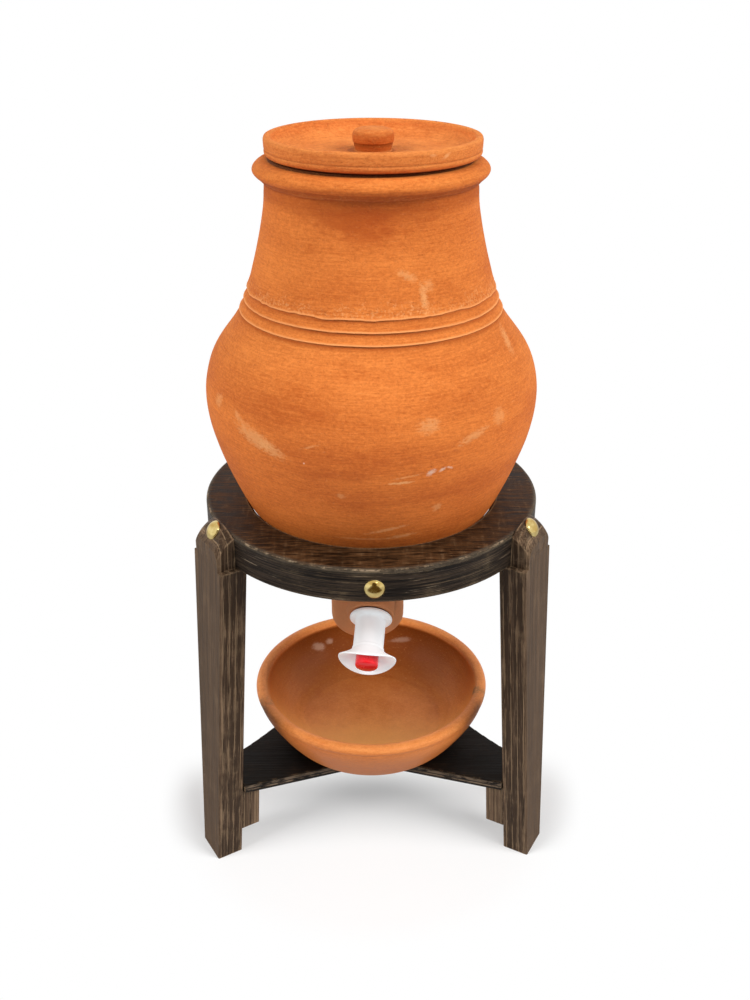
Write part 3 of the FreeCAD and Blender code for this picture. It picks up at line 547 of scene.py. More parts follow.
def combed_group():
    """Short upright strokes of a tool in a level band: a mask, strongest at Low and gone at High."""
    tree, given, result = new_group(
        "combed_band",
        [("Vector", "vector", None), ("Low", "value", 0.0), ("High", "value", 0.01)],
        [("Mask", "value")])
    place = given.outputs["Vector"]
    height = parts_of(tree, place)[2]
    reach = noise(tree, scaled(tree, place, (1, 1, 0.2)), 55.0, detail=3, roughness=0.7)
    raised = plus(tree, height, times(tree, minus(tree, 0.5, reach), 0.03))
    band = ranged(tree, raised, given.outputs["High"], given.outputs["Low"])
    band = times(tree, band, maths(tree, "GREATER_THAN", height, given.outputs["Low"]))
    strokes = noise(tree, scaled(tree, place, (1, 1, 0.35)), 480.0, detail=4, roughness=0.7)
    crumbs = noise(tree, place, 520.0, detail=3, roughness=0.7)
    marks = plus(tree, times(tree, strokes, 0.35), times(tree, crumbs, 0.65))
    marks = ranged(tree, plus(tree, marks, times(tree, band, 0.07)), 0.54, 0.70)
    tree.links.new(times(tree, marks, band), result.inputs["Mask"])
    return tree


def spot_group():
    """One soft spot on a round wall; it lays rubbed scuffs, patches of painted shade and painted glints. Turn
    and Height say where, Wide, Tall and Roll its shape.
    """
    tree, given, result = new_group(
        "soft_spot",
        [("Vector", "vector", None), ("Turn", "value", 0.0), ("Height", "value", 0.0),
         ("Wide", "value", 0.02), ("Tall", "value", 0.01), ("Roll", "value", 0.0), ("Grain", "value", 200.0)],
        [("Mask", "value")])
    faced = about_z(tree, given.outputs["Vector"], times(tree, given.outputs["Turn"], -1.0))
    out, across, up = parts_of(tree, faced)
    up = minus(tree, up, given.outputs["Height"])
    flat = node(tree, "CombineXYZ", {0: across, 1: up}).outputs[0]
    level = about_z(tree, flat, times(tree, given.outputs["Roll"], -1.0))
    wide, tall, _ = parts_of(tree, level)
    wide = maths(tree, "DIVIDE", wide, given.outputs["Wide"])
    tall = maths(tree, "DIVIDE", tall, given.outputs["Tall"])
    away = hypotenuse(tree, wide, tall)
    rubbed = noise(tree, scaled(tree, given.outputs["Vector"], (0.7, 0.7, 1.3)), given.outputs["Grain"],
                   detail=6, roughness=0.75)
    near = minus(tree, 1.0, away)
    mask = ranged(tree, plus(tree, times(tree, near, 0.35), rubbed), 0.52, 0.80)
    mask = times(tree, mask, ranged(tree, away, 1.15, 0.45))
    front = maths(tree, "GREATER_THAN", out, 0.04)
    tree.links.new(times(tree, mask, front), result.inputs["Mask"])
    return tree


def plywood_group():
    """A plywood board: X runs along the outer grain, Z through the thickness, Ply is one sheet.
    Tone is the stain's shade, Streak marks grain worn pale, Glue marks the joints and Line their pale, broken
    middles, Height is the relief."""
    tree, given, result = new_group(
        "plywood",
        [("Vector", "vector", None), ("Ply", "value", 0.0030), ("Waver", "value", 0.0004)],
        [("Tone", "value"), ("Streak", "value"), ("Glue", "value"), ("Line", "value"), ("Height", "value")])
    place = given.outputs["Vector"]
    waver = minus(tree, noise(tree, place, 30.0, detail=3), 0.5)
    through = plus(tree, parts_of(tree, place)[2], times(tree, waver, given.outputs["Waver"]))
    sheets = plus(tree, maths(tree, "DIVIDE", through, given.outputs["Ply"]), 0.5)
    number = maths(tree, "FLOOR", sheets)
    sheet_tone = node(tree, "TexWhiteNoise", {"W": number}, noise_dimensions="1D").outputs["Value"]
    fine = noise(tree, scaled(tree, place, (9, 760, 760)), 1.0, detail=5, roughness=0.75)
    broad = noise(tree, scaled(tree, place, (3.5, 170, 170)), 1.0, detail=4, roughness=0.65)
    blotch = noise(tree, place, 38.0, detail=5, roughness=0.65)
    part = maths(tree, "ABSOLUTE", minus(tree, maths(tree, "FRACT", sheets), 0.5))
    glue = ranged(tree, part, 0.33, 0.46)
    kept = patches(tree, place, (22, 240, 240), 1.0, 0.38, 0.54, roughness=0.65)
    line = times(tree, ranged(tree, part, 0.415, 0.470), kept)
    beside = times(tree, ranged(tree, part, 0.22, 0.34), ranged(tree, part, 0.44, 0.36))
    tone = -0.68
    for value, share in ((sheet_tone, 0.40), (fine, 1.25), (broad, 0.55), (blotch, 0.16)):
        tone = plus(tree, tone, times(tree, value, share))
    worn = plus(tree, times(tree, fine, 0.55), times(tree, blotch, 0.45))
    worn = plus(tree, worn, times(tree, beside, 0.07))
    height = minus(tree, plus(tree, times(tree, fine, 0.6), times(tree, broad, 0.4)), times(tree, glue, 0.5))
    for label, value in (("Tone", tone), ("Streak", ranged(tree, worn, 0.53, 0.63)), ("Glue", glue),
                         ("Line", line), ("Height", height)):
        tree.links.new(value, result.inputs[label])
    return tree


def whittled_group():
    """Knife facets: cells of about Size, each tilted its own way, with pale broken borders."""
    tree, given, result = new_group(
        "whittled",
        [("Vector", "vector", None), ("Size", "value", 0.016)],
        [("Tilt", "value"), ("Border", "value")])
    place = node(tree, "VectorMath", {0: given.outputs["Vector"], 1: given.outputs["Size"]},
                 operation="DIVIDE").outputs[0]
    cell = node(tree, "TexVoronoi", {"Vector": place, "Scale": 1.0}, feature="F1")
    border = node(tree, "TexVoronoi", {"Vector": place, "Scale": 1.0}, feature="DISTANCE_TO_EDGE")
    lean = node(tree, "VectorMath", {0: cell.outputs["Color"], 1: (0.5, 0.5, 0.5)},
                operation="SUBTRACT").outputs[0]
    inside = node(tree, "VectorMath", {0: place, 1: cell.outputs["Position"]},
                  operation="SUBTRACT").outputs[0]
    tilt = dot(tree, lean, inside)
    broken = patches(tree, given.outputs["Vector"], None, 190.0, 0.42, 0.58, roughness=0.7)
    line = ranged(tree, border.outputs["Distance"], 0.055, 0.015)
    tree.links.new(tilt, result.inputs["Tilt"])
    tree.links.new(times(tree, line, broken), result.inputs["Border"])
    return tree


worn_edges = worn_edge_group()
thrown_marks = thrown_group()
combed_band = combed_group()
soft_spot = spot_group()
plywood = plywood_group()
whittled = whittled_group()
print("groups", [g.name for g in bpy.data.node_groups])

# %% [markdown]
# ## Terracotta
# Fired clay is matt and warm, with level streaks, darker iron specks, a paler dusty bloom, and rubbed
# spots where it knocked against other pots. One function makes all three clays, and each gets its own
# colours, gloss and scuffs.

# %% Clay finishes
POT_SCUFFS = [
    # turn in degrees, height, half width, half height, roll in degrees, strength
    (-131.0, 0.4125, 0.030, 0.0105, -16, 0.55),
    (-124.0, 0.4075, 0.020, 0.0080, -20, 0.45),
    (-139.0, 0.4240, 0.010, 0.0040, -30, 0.40),
    (-74.5, 0.5270, 0.012, 0.0045, -24, 0.50),
    (-67.0, 0.5120, 0.0045, 0.0150, 4, 0.65),
    (-64.5, 0.5190, 0.007, 0.0060, 40, 0.40),
    (-73.0, 0.4315, 0.013, 0.0085, 10, 0.50),
    (-57.0, 0.4180, 0.022, 0.0050, 16, 0.50),
    (-46.0, 0.4260, 0.010, 0.0100, 60, 0.35),
    (-81.5, 0.3890, 0.014, 0.0016, 2, 0.85),
    (-79.5, 0.3940, 0.016, 0.0014, 8, 0.45),
    (-67.5, 0.3610, 0.006, 0.0055, 0, 0.45),
    (-85.0, 0.3430, 0.024, 0.0024, 14, 0.60),
    (-79.0, 0.3350, 0.016, 0.0026, 8, 0.60),
    (-93.0, 0.3330, 0.040, 0.0012, 0, 0.45),
    (-110.0, 0.4160, 0.012, 0.0014, 20, 0.40),
    (-101.0, 0.3770, 0.005, 0.0040, 0, 0.40),
    (-24.0, 0.4680, 0.016, 0.0070, 60, 0.55),
    (-152.0, 0.4270, 0.010, 0.0080, 40, 0.45),
    (20.0, 0.4300, 0.030, 0.0080, 10, 0.50),
    (75.0, 0.3900, 0.022, 0.0060, -16, 0.50),
    (130.0, 0.4500, 0.018, 0.0040, 24, 0.50),
    (165.0, 0.5200, 0.012, 0.0050, -30, 0.45),
]
POT_CHALK = [(-71.8, 0.3955, 0.0056, 0.0034, 30, 0.62), (-68.0, 0.3965, 0.0050, 0.0018, 24, 0.55),
             (-65.5, 0.3970, 0.0040, 0.0016, -20, 0.50), (-112.5, 0.4020, 0.0010, 0.0010, 0, 0.70)]
# dark patches, partly painted shade and partly the clay's own darker tone
POT_SHADE = [(-104.0, 0.5630, 0.055, 0.016, -4, 0.55), (-94.0, 0.5590, 0.034, 0.024, 0, 0.42),
             (-75.0, 0.5640, 0.045, 0.012, 3, 0.40), (-103.0, 0.3950, 0.045, 0.010, 0, 0.35),
             (-118.0, 0.4420, 0.050, 0.004, -6, 0.30), (-86.0, 0.3700, 0.070, 0.006, 3, 0.30)]
BOWL_SHADE = [(-157.0, 0.1200, 0.022, 0.012, -30, 0.75), (-14.0, 0.1210, 0.016, 0.014, 30, 0.80)]
# pale spots on the bowl's inner back wall: painted reflections of soft lamps, which no lamp here gives
BOWL_PAINTED_GLINTS = [(124.5, 0.1085, 0.0120, 0.0055, 20, 0.36), (116.0, 0.1100, 0.0060, 0.0040, 0, 0.36),
              (70.0, 0.1085, 0.0160, 0.0034, -14, 0.24)]
LID_SCUFFS = [(-52.0, 0.6040, 0.006, 0.0018, 30, 0.55), (-60.0, 0.6055, 0.004, 0.0016, 0, 0.4)]
# spans of height above the ring's top, in metres, over which a colour comes in
# the painted shade under the collar: where it starts and where it is full; it stops at the collar's edge
COLLAR_SHADE_SPAN, COLLAR_EDGE = (0.238, 0.249), 0.2585
# the pot's rim under the lid, painted nearly black as the shadow line under the lid; it shows as a dark ring
# when the lid is lifted
LID_SEAT_SHADOW = (0.2689, 0.2693)
NUB = (-0.075, -0.095)
TOP_COMB = (0.1765, 0.192)
COLLAR_COMB = (0.2540, 0.2590)
# the lid's underside edge, painted darker as shade in the crease above the collar
LID_UNDERSIDE_SHADE = (0.2728, 0.2714)
# the fine groove round the lid's side, painted darker as shade
LID_GROOVE_SHADE_BELOW, LID_GROOVE_SHADE_ABOVE = (0.2759, 0.2764), (0.2774, 0.2769)
KNOB_CROWN, KNOB_WAIST, KNOB_FOOT = (0.2890, 0.2865), (0.2812, 0.2800), (0.2790, 0.2775)
# distances from the axis
KNOB_EDGE, LID_SIDE = (0.0185, 0.0165), 0.0765
# inside the bowl: a span of height above the shelf, and the spans along Y of its painted shade at the back
# and painted light at the front
BOWL_INSIDE = (0.050, 0.046)
PAINTED_SHADE_BACK, PAINTED_LIGHT_FRONT = (-0.030, 0.085), (0.010, -0.070)


def spots(tree, place, colour, list_of_spots, spot_colour, grain):
    """Lays soft broken spots of one colour over another colour."""
    for turn, height, wide, tall, roll, strength in list_of_spots:
        spot = use_group(tree, soft_spot, {
            "Vector": place, "Turn": math.radians(turn), "Height": height, "Wide": wide, "Tall": tall,
            "Roll": math.radians(roll), "Grain": grain})
        colour = mixed(tree, times(tree, spot["Mask"], strength), colour, spot_colour)
    return colour


def risen(tree, height, span, *shares):
    """Eases from 0 to 1, or between two shares, over a span of heights above the ring's top."""
    return ranged(tree, height, RING_TOP + span[0], RING_TOP + span[1], *shares)


def clay_material(name, light, deep, roughness, bloom, scratched=0.5, coat=0.0, extra=None, relief=0.0007):
    """Fired clay: mottle between two colours, iron specks, painted shade that makes faces turned down deeper
    and redder, level scratches and worn edges; extra(tree, place, colour) adds what only this piece has."""
    material, tree, shader = new_material(name, Roughness=roughness, Specular_IOR_Level=0.3)
    shader.inputs["Coat Weight"].default_value = coat
    shader.inputs["Coat Roughness"].default_value = 0.12
    place = object_place(tree)
    marks = use_group(tree, thrown_marks, {"Vector": place, "Scratched": scratched})
    colour = mixed(tree, ranged(tree, marks["Tone"], 0.24, 0.76), deep, light)
    # Painted shade: faces that turn down are multiplied darker and redder, and faces that turn up keep the
    # clay's colour.
    facing = parts_of(tree, node(tree, "NewGeometry").outputs["Normal"])[2]
    clear_of_painted_shade = ranged(tree, facing, -0.35, 0.75)
    colour = mixed(tree, clear_of_painted_shade, mixed(tree, 1.0, colour, (0.96, 0.84, 0.72, 1), "MULTIPLY"), colour)
    specks = patches(tree, place, None, 700.0, 0.66, 0.78, detail=2)
    colour = mixed(tree, times(tree, specks, 0.35), colour, linear(150, 70, 30))
    if extra:
        colour = extra(tree, place, colour)
    pale = patches(tree, place, (1, 1, 1.8), 420.0, 0.56, 0.78, detail=5, roughness=0.75)
    colour = mixed(tree, times(tree, pale, 0.35), colour, bloom)
    colour = mixed(tree, times(tree, marks["Scratches"], 0.45), colour, bloom)
    edges = use_group(tree, worn_edges, {"Vector": place, "Width": 0.0014, "Breakup": 160.0, "Amount": 0.78})
    colour = mixed(tree, times(tree, edges["Mask"], 0.55), colour, bloom)
    tree.links.new(colour, shader.inputs["Base Color"])
    gloss = ranged(tree, marks["Tone"], 0.3, 0.7, roughness - 0.08, roughness + 0.08)
    tree.links.new(gloss, shader.inputs["Roughness"])
    raise_surface(tree, shader, marks["Height"], relief)
    return material


def pot_extra(tree, place, colour):
    """Painted highlights on the ridges' crests and painted shade in their grooves, painted shade under the
    collar, a painted shadow on the lid's seat, the paler nub, dark patches that are partly painted shade and
    partly darker clay, the two combed bands, the rubbed spots and the chalk marks."""
    height = parts_of(tree, place)[2]
    relief = node(tree, "Attribute", attribute_name="relief").outputs["Fac"]
    # Painted light on the ridges: the grooves are painted darker as shade and the crests paler as highlights.
    colour = mixed(tree, ranged(tree, relief, -0.04, -0.80, 0.0, 0.80), colour, linear(148, 60, 12))
    colour = mixed(tree, ranged(tree, relief, 0.30, 0.95, 0.0, 0.75), colour, linear(255, 172, 106))
    # Painted shade under the collar's overhang.
    below = maths(tree, "LESS_THAN", height, RING_TOP + COLLAR_EDGE)
    under = times(tree, risen(tree, height, COLLAR_SHADE_SPAN), below)
    colour = mixed(tree, times(tree, under, 0.45), colour, linear(150, 62, 16))
    # Painted shadow: the rim that the lid rests on is nearly black.
    seat = risen(tree, height, LID_SEAT_SHADOW, 0.0, 0.92)
    colour = mixed(tree, seat, colour, linear(40, 12, 3))
    colour = mixed(tree, risen(tree, height, NUB, 0.0, 0.75), colour, linear(226, 160, 114))
    # Dark patches, partly painted shade and partly darker clay.
    colour = spots(tree, place, colour, POT_SHADE, linear(176, 78, 26), 45.0)
    for (low, high), strength in ((TOP_COMB, 0.66), (COLLAR_COMB, 0.20)):
        combed = use_group(tree, combed_band,
                           {"Vector": place, "Low": RING_TOP + low, "High": RING_TOP + high})
        colour = mixed(tree, times(tree, combed["Mask"], strength), colour, POT_BLOOM)
    colour = spots(tree, place, colour, POT_SCUFFS, POT_BLOOM, 430.0)
    return spots(tree, place, colour, POT_CHALK, linear(240, 212, 190), 700.0)


def bowl_extra(tree, place, colour):
    """Inside, painted shade at the back, a slight darkening of the inner walls, and painted light at the
    front; painted glints, and two dark marks on the rim. The way a wall faces is its normal against the way
    out from the axis: below 0 it faces inwards."""
    outwards = node(tree, "VectorMath", {0: place, 1: (1, 1, 0)}, operation="MULTIPLY").outputs[0]
    faces = dot(tree, node(tree, "TexCoord").outputs["Normal"], outwards)
    _, depth, height = parts_of(tree, place)
    inside = ranged(tree, height, SHELF_TOP + BOWL_INSIDE[0], SHELF_TOP + BOWL_INSIDE[1])
    # Painted shade at the back of the inside, with a slight darkening of the inner walls.
    wall = times(tree, ranged(tree, faces, -0.010, -0.045), 0.06)
    back = times(tree, ranged(tree, depth, *PAINTED_SHADE_BACK), 0.84)
    back_shade = times(tree, plus(tree, wall, back), inside, ranged(tree, faces, 0.004, -0.001))
    # Painted light: the front of the inside is painted brighter.
    lit = times(tree, ranged(tree, depth, *PAINTED_LIGHT_FRONT), inside, ranged(tree, faces, 0.010, 0.003))
    colour = mixed(tree, lit, colour, linear(255, 188, 110))
    colour = mixed(tree, back_shade, colour, linear(104, 44, 1))
    # Painted glints: pale spots that stand for reflections.
    colour = spots(tree, place, colour, BOWL_PAINTED_GLINTS, linear(226, 196, 172), 70.0)
    return spots(tree, place, colour, BOWL_SHADE, linear(96, 84, 52), 60.0)


def lid_extra(tree, place, colour):
    """Painted shade darkens the underside's edge and the fine groove round the side; the knob is darker, most
    of all below its waist, where painted shade lies under its bulge; the side has a few knocks.
    """
    x, y, height = parts_of(tree, place)
    out = hypotenuse(tree, x, y)
    # Painted shade on the underside's edge, in the crease above the collar.
    colour = mixed(tree, risen(tree, height, LID_UNDERSIDE_SHADE, 0.0, 0.80), colour, linear(80, 30, 10))
    # Painted shade in the fine groove round the side.
    line = times(tree, risen(tree, height, LID_GROOVE_SHADE_BELOW), risen(tree, height, LID_GROOVE_SHADE_ABOVE),
                 maths(tree, "GREATER_THAN", out, LID_SIDE))
    colour = mixed(tree, times(tree, line, 0.35), colour, linear(150, 74, 30))
    # The knob is darker overall, and darker still between its waist and foot as painted shade under its
    # bulge.
    knob = times(tree, ranged(tree, out, *KNOB_EDGE), risen(tree, height, KNOB_CROWN))
    knob_darkening = risen(tree, height, KNOB_WAIST, 0.30, 0.85)
    foot = risen(tree, height, KNOB_FOOT, 0.0, -0.35)
    colour = mixed(tree, times(tree, knob, plus(tree, knob_darkening, foot)), colour, linear(138, 70, 24))
    return spots(tree, place, colour, LID_SCUFFS, linear(246, 180, 120), 300.0)


POT_BLOOM = linear(240, 172, 110)
pot_clay = clay_material("terracotta_pot", linear(240, 144, 70), linear(190, 94, 34), 0.80, POT_BLOOM,
                         scratched=0.48, extra=pot_extra)
lid_clay = clay_material("terracotta_lid", linear(242, 152, 80), linear(196, 98, 40), 0.80,
                         linear(240, 178, 116), scratched=0.52, extra=lid_extra)
bowl_clay = clay_material("terracotta_bowl", linear(232, 150, 84), linear(198, 110, 48), 0.46,
                          linear(238, 172, 112), scratched=0.40, coat=0.06, extra=bowl_extra, relief=0.0004)
print("scuffs", len(POT_SCUFFS))

# %% [markdown]
# ## Stained plywood
# The stand is thick plywood with a dark walnut stain. The stain takes differently in each sheet, so the
# cut edges show bands, and it has worn off along the corners down to the pale wood. Each board has a
# function that says which way its sheets lie, and one function finishes them all.

# %% Wood finishes
RING_RADIUS = 138 * MM
LEG_HEAD_OUT, LEG_FOOT_OUT = 152 * MM, 169 * MM  # axis to the leg's outer face, at its head and foot
LEG_RISE = 295 * MM                              # between those two places
LEG_LEAN = math.atan2(LEG_FOOT_OUT - LEG_HEAD_OUT, LEG_RISE)
LEG_REACH = LEG_FOOT_OUT * math.cos(LEG_LEAN)    # axis to the leg's outer face, square to that face
LEG_TURNS = {"back": 90.0, "left": 210.0, "right": 330.0}
HEAD_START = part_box("ring")[0].z + 0.004
RIM_STRIP = 0.1335                              # outside this radius the ring's top is rubbed grey
BLACK_STAIN = linear(14, 10, 8)


def wood_material(name, dark, light, worn, sheets, wear=0.5, gloss=0.55, streaks=0.5, spread=(0.28, 0.80),
                  ply=0.0030, lines=0.0, joints=0.70, carved=False, extra=None):
    """Stained plywood. sheets(tree, place) returns coordinates with Z through the board; the tone runs from
    dark to light over spread, ply is one sheet, joints is how black and lines how worn its joints are;
    a carved board has its outer face painted darker as shade and a whittled head; extra(tree, place, colour)
    adds what only this board has."""
    material, tree, shader = new_material(name, Specular_IOR_Level=0.16)
    place = object_place(tree)
    boards = sheets(tree, place)
    board = use_group(tree, plywood, {"Vector": boards, "Ply": ply})
    colour = mixed(tree, ranged(tree, board["Tone"], *spread), dark, light)
    colour = mixed(tree, times(tree, board["Glue"], joints), colour, BLACK_STAIN)
    if extra:
        colour = extra(tree, place, colour)
    colour = mixed(tree, times(tree, board["Streak"], streaks), colour, worn)
    colour = mixed(tree, times(tree, board["Line"], lines), colour, worn)
    edges = use_group(tree, worn_edges, {"Vector": place, "Width": 0.0024, "Breakup": 130.0,
                                         "Amount": wear})
    colour = mixed(tree, times(tree, edges["Mask"], 0.75), colour, worn)
    height = board["Height"]
    if carved:
        facets = use_group(tree, whittled, {"Vector": place})
        # Painted shade: the outer face of a carved board is darkened.
        outer = ranged(tree, parts_of(tree, boards)[2], -0.0016, -0.0006)
        colour = mixed(tree, times(tree, outer, 0.36), colour, dark)
        rise = parts_of(tree, place)[2]
        head = ranged(tree, rise, HEAD_START, HEAD_START + 0.004)
        colour = mixed(tree, times(tree, facets["Border"], times(tree, head, 0.18)), colour, worn)
        height = plus(tree, height, times(tree, facets["Tilt"], times(tree, head, 4.5)))
    tree.links.new(colour, shader.inputs["Base Color"])
    tree.links.new(ranged(tree, board["Tone"], 0.3, 0.7, gloss - 0.1, gloss + 0.12),
                   shader.inputs["Roughness"])
    raise_surface(tree, shader, height, 0.0009)
    return material


def lying_flat(top):
    """Sheets stacked upwards, grain along X; the top face is the middle of a sheet."""
    return lambda tree, place: scaled(tree, place, (1, 1, 1), place=(0, 0, -top))


def round_the_rim(top):
    """The ring: short grain on top; on its side the grain runs round, so X is the turn times the radius."""
    def sheets(tree, place):
        x, y, z = parts_of(tree, place)
        turn = maths(tree, "ARCTAN2", y, x)
        radius = hypotenuse(tree, x, y)
        round_it = node(tree, "CombineXYZ",
                        {0: times(tree, turn, RING_RADIUS), 1: radius, 2: minus(tree, z, top)}).outputs[0]
        flat = scaled(tree, place, (6, 1, 1), place=(0, 0, -top))
        on_side = maths(tree, "GREATER_THAN", radius, RING_RADIUS - 0.5 * MM)
        return node(tree, "Mix", {0: on_side, 4: flat, 5: round_it}, data_type="VECTOR").outputs[1]
    return sheets


def standing_leg(turn):
    """Sheets stacked from the leg's outer face inwards, grain up the leg; z = 0 is the outer face."""
    def sheets(tree, place):
        facing = about_z(tree, place, -math.radians(turn))
        upright = node(tree, "VectorRotate", {"Vector": facing, "Angle": LEG_LEAN - math.pi / 2},
                       rotation_type="Y_AXIS").outputs[0]
        return scaled(tree, upright, (1, 1, 1), place=(0, 0, -LEG_REACH))
    return sheets


def ring_extra(tree, place, colour):
    """Near black on the side with thin level lines; rubbed grey along the top's chipped outer edge."""
    x, y, z = parts_of(tree, place)
    radius = hypotenuse(tree, x, y)
    side = ranged(tree, z, RING_TOP - 0.0022, RING_TOP - 0.0040)
    side = times(tree, side, maths(tree, "GREATER_THAN", radius, 0.120))
    grain = noise(tree, scaled(tree, place, (20, 20, 700)), 1.0, detail=5, roughness=0.7)
    black = mixed(tree, ranged(tree, grain, 0.40, 0.66), linear(18, 13, 10), linear(62, 50, 40))
    colour = mixed(tree, side, colour, black)
    strip = times(tree, ranged(tree, radius, RIM_STRIP, RIM_STRIP + 0.003), minus(tree, 1.0, side))
    patchy = patches(tree, place, None, 70.0, 0.35, 0.62, detail=5, roughness=0.7)
    colour = mixed(tree, times(tree, strip, plus(tree, times(tree, patchy, 0.5), 0.4)), colour,
                   linear(76, 67, 56))
    drop = minus(tree, RING_TOP, z)
    edge = times(tree, ranged(tree, drop, 0.0002, 0.0006), ranged(tree, drop, 0.0019, 0.0012))
    edge = times(tree, edge, maths(tree, "GREATER_THAN", radius, 0.130))
    chipped = patches(tree, place, (1, 1, 3), 60.0, 0.50, 0.58, detail=6, roughness=0.75)
    colour = mixed(tree, times(tree, edge, chipped, 0.70), colour, linear(170, 148, 120))
    lines = patches(tree, place, (16, 16, 1400), 1.0, 0.62, 0.72, detail=2)
    kept = patches(tree, place, (70, 70, 300), 1.0, 0.48, 0.64, roughness=0.7)
    scratch = times(tree, lines, kept, side)
    return mixed(tree, times(tree, scratch, 0.75), colour, linear(150, 132, 110))


def shelf_extra(tree, place, colour):
    """The shelf's edge keeps its pale middle sheets; its top is blackest where the bowl stands."""
    x, y, z = parts_of(tree, place)
    radius = hypotenuse(tree, x, y)
    drop = minus(tree, SHELF_TOP, z)
    upper = times(tree, ranged(tree, drop, 0.0006, 0.0013), ranged(tree, drop, 0.0042, 0.0034))
    lower = times(tree, ranged(tree, drop, 0.0046, 0.0051), ranged(tree, drop, 0.0068, 0.0060))
    middle = plus(tree, times(tree, upper, 0.8), lower)
    patchy = patches(tree, place, (1, 1, 3), 90.0, 0.38, 0.58, detail=5, roughness=0.7)
    colour = mixed(tree, times(tree, middle, times(tree, patchy, 0.8)), colour, linear(136, 116, 96))
    top = times(tree, ranged(tree, drop, 0.0008, 0.0003), ranged(tree, radius, 0.140, 0.085))
    return mixed(tree, times(tree, top, 0.6), colour, BLACK_STAIN)


ring_wood = wood_material("plywood_ring", linear(14, 7, 3), linear(88, 60, 36), linear(176, 150, 116),
                          round_the_rim(RING_TOP), wear=0.68, streaks=0.18, spread=(0.39, 0.72),
                          extra=ring_extra)
shelf_wood = wood_material("plywood_shelf", linear(7, 5, 4), linear(23, 18, 12), linear(140, 114, 84),
                           lying_flat(SHELF_TOP), wear=0.5, streaks=0.08, extra=shelf_extra)
leg_woods = {side: wood_material("plywood_leg_" + side, linear(56, 41, 28), linear(126, 102, 81),
                                 linear(152, 126, 98), standing_leg(turn), wear=0.55, streaks=0.4,
                                 ply=0.0056, lines=0.75, joints=0.35, carved=True)
             for side, turn in LEG_TURNS.items()}
print("wood finishes", 2 + len(leg_woods))

# %% [markdown]
# ## Metals, rubber and plastics
# Small parts still need a finish of their own. Brass domes are polished but a little uneven in tone,
# zinc-plated screws are duller, the tap is a satin white moulding, and its button is a glossier red one.

# %% Small finishes
def small_material(name, light, deep, roughness, metallic=0.0, scale=260.0, bump=0.00004, coat=0.0, glow=0.0):
    """A cast, turned or moulded surface: two close tones, a soft grain and uneven gloss; glow is painted
    light, an even white emission that keeps shaded parts bright."""
    material, tree, shader = new_material(name, Metallic=metallic, Roughness=roughness,
                                          Emission_Color=(1, 1, 1, 1), Emission_Strength=glow)
    shader.inputs["Coat Weight"].default_value = coat
    place = object_place(tree)
    clouds = noise(tree, place, scale, detail=4)
    tree.links.new(mixed(tree, ranged(tree, clouds, 0.35, 0.65), deep, light), shader.inputs["Base Color"])
    tree.links.new(ranged(tree, clouds, 0.3, 0.7, roughness * 0.85, roughness * 1.2),
                   shader.inputs["Roughness"])
    raise_surface(tree, shader, noise(tree, place, scale * 6, detail=2), bump)
    return material


brass = small_material("brass_polished", linear(230, 208, 142), linear(196, 164, 92), 0.19, metallic=1.0,
                       scale=120.0, bump=0.00001)
steel = small_material("zinc_plated_steel", linear(190, 190, 188), linear(140, 138, 132), 0.38, metallic=1.0)
spring_wire = small_material("spring_wire", linear(165, 165, 165), linear(120, 120, 122), 0.3, metallic=1.0)
# The white moulding glows a little as painted light, which keeps it white where it is shaded.
white_plastic = small_material("white_moulding", linear(248, 252, 254), linear(242, 247, 250), 0.32,
                               scale=120.0, bump=0.00001, glow=0.16)
red_plastic = small_material("red_moulding", linear(238, 26, 38), linear(224, 16, 28), 0.24, coat=0.3,
                             scale=120.0, bump=0.00001)
stem_plastic = small_material("natural_nylon", linear(226, 222, 210), linear(212, 208, 196), 0.45)
rubber = small_material("grey_rubber", linear(70, 70, 70), linear(54, 54, 55), 0.7)
print("small finishes", 7)

# %% [markdown]
# ## The pot
# The pot is one outline turned round: a closed nub at the bottom, a cone that rests in the ring, a full
# belly, three ridges round the shoulder, a neck and a rolled collar. Lathe work alone looks machined, so
# the grid is then pushed out by slow unevenness, by the ragged ridges and by the chips that a tool left
# above them, and last it is pressed flat where the tap goes through.

# %% Pot
RIDGES = [
    # rise of the crest above the ring's top, how far it stands out, how ragged its line is (mm), seed
    (159.0, 1.10, 0.25, 21),
    (167.3, 1.10, 0.30, 22),
    (175.7, 0.95, 0.90, 23),
    (255.0, 0.60, 1.10, 24),      # the lower edge of the collar
]
POT_WALL = 10 * MM
POT_COLUMNS = 288
NUB_LEFT = 3.3 * MM             # the hand-closed tip hangs a little off the axis


def above_ring(*pairs):
    """Points given in millimetres as (radius, rise above the ring's top), in metres."""
    return [(radius * MM, RING_TOP + rise * MM) for radius, rise in pairs]


def ridge_lift(height, columns):
    """How far the ridges stand out, as a share: each flares out above its crest as exp(-above / 1.6 mm),
    drops sharply below it, and leaves a hollow that comes back as exp(-below / 3.2 mm)."""
    lift = np.zeros((len(height), columns))
    for rise, proud, ragged, seed in RIDGES:
        line = soft_noise(2, columns, 1, 36, seed)[0] + 0.7 * soft_noise(2, columns, 1, 120, seed + 9)[0]
        above = (height[:, None] - RING_TOP) / MM - rise - ragged * 0.6 * line
        below = np.clip(-above, 0, None)
        shape = np.where(above >= 0, np.exp(-np.clip(above, 0, None) / 1.6),
                         1.8 * np.exp(-(below / 0.5) ** 2) - 0.8 * np.exp(-below / 3.2))
        lift += proud * shape * (np.abs(above) < 12)
    return lift


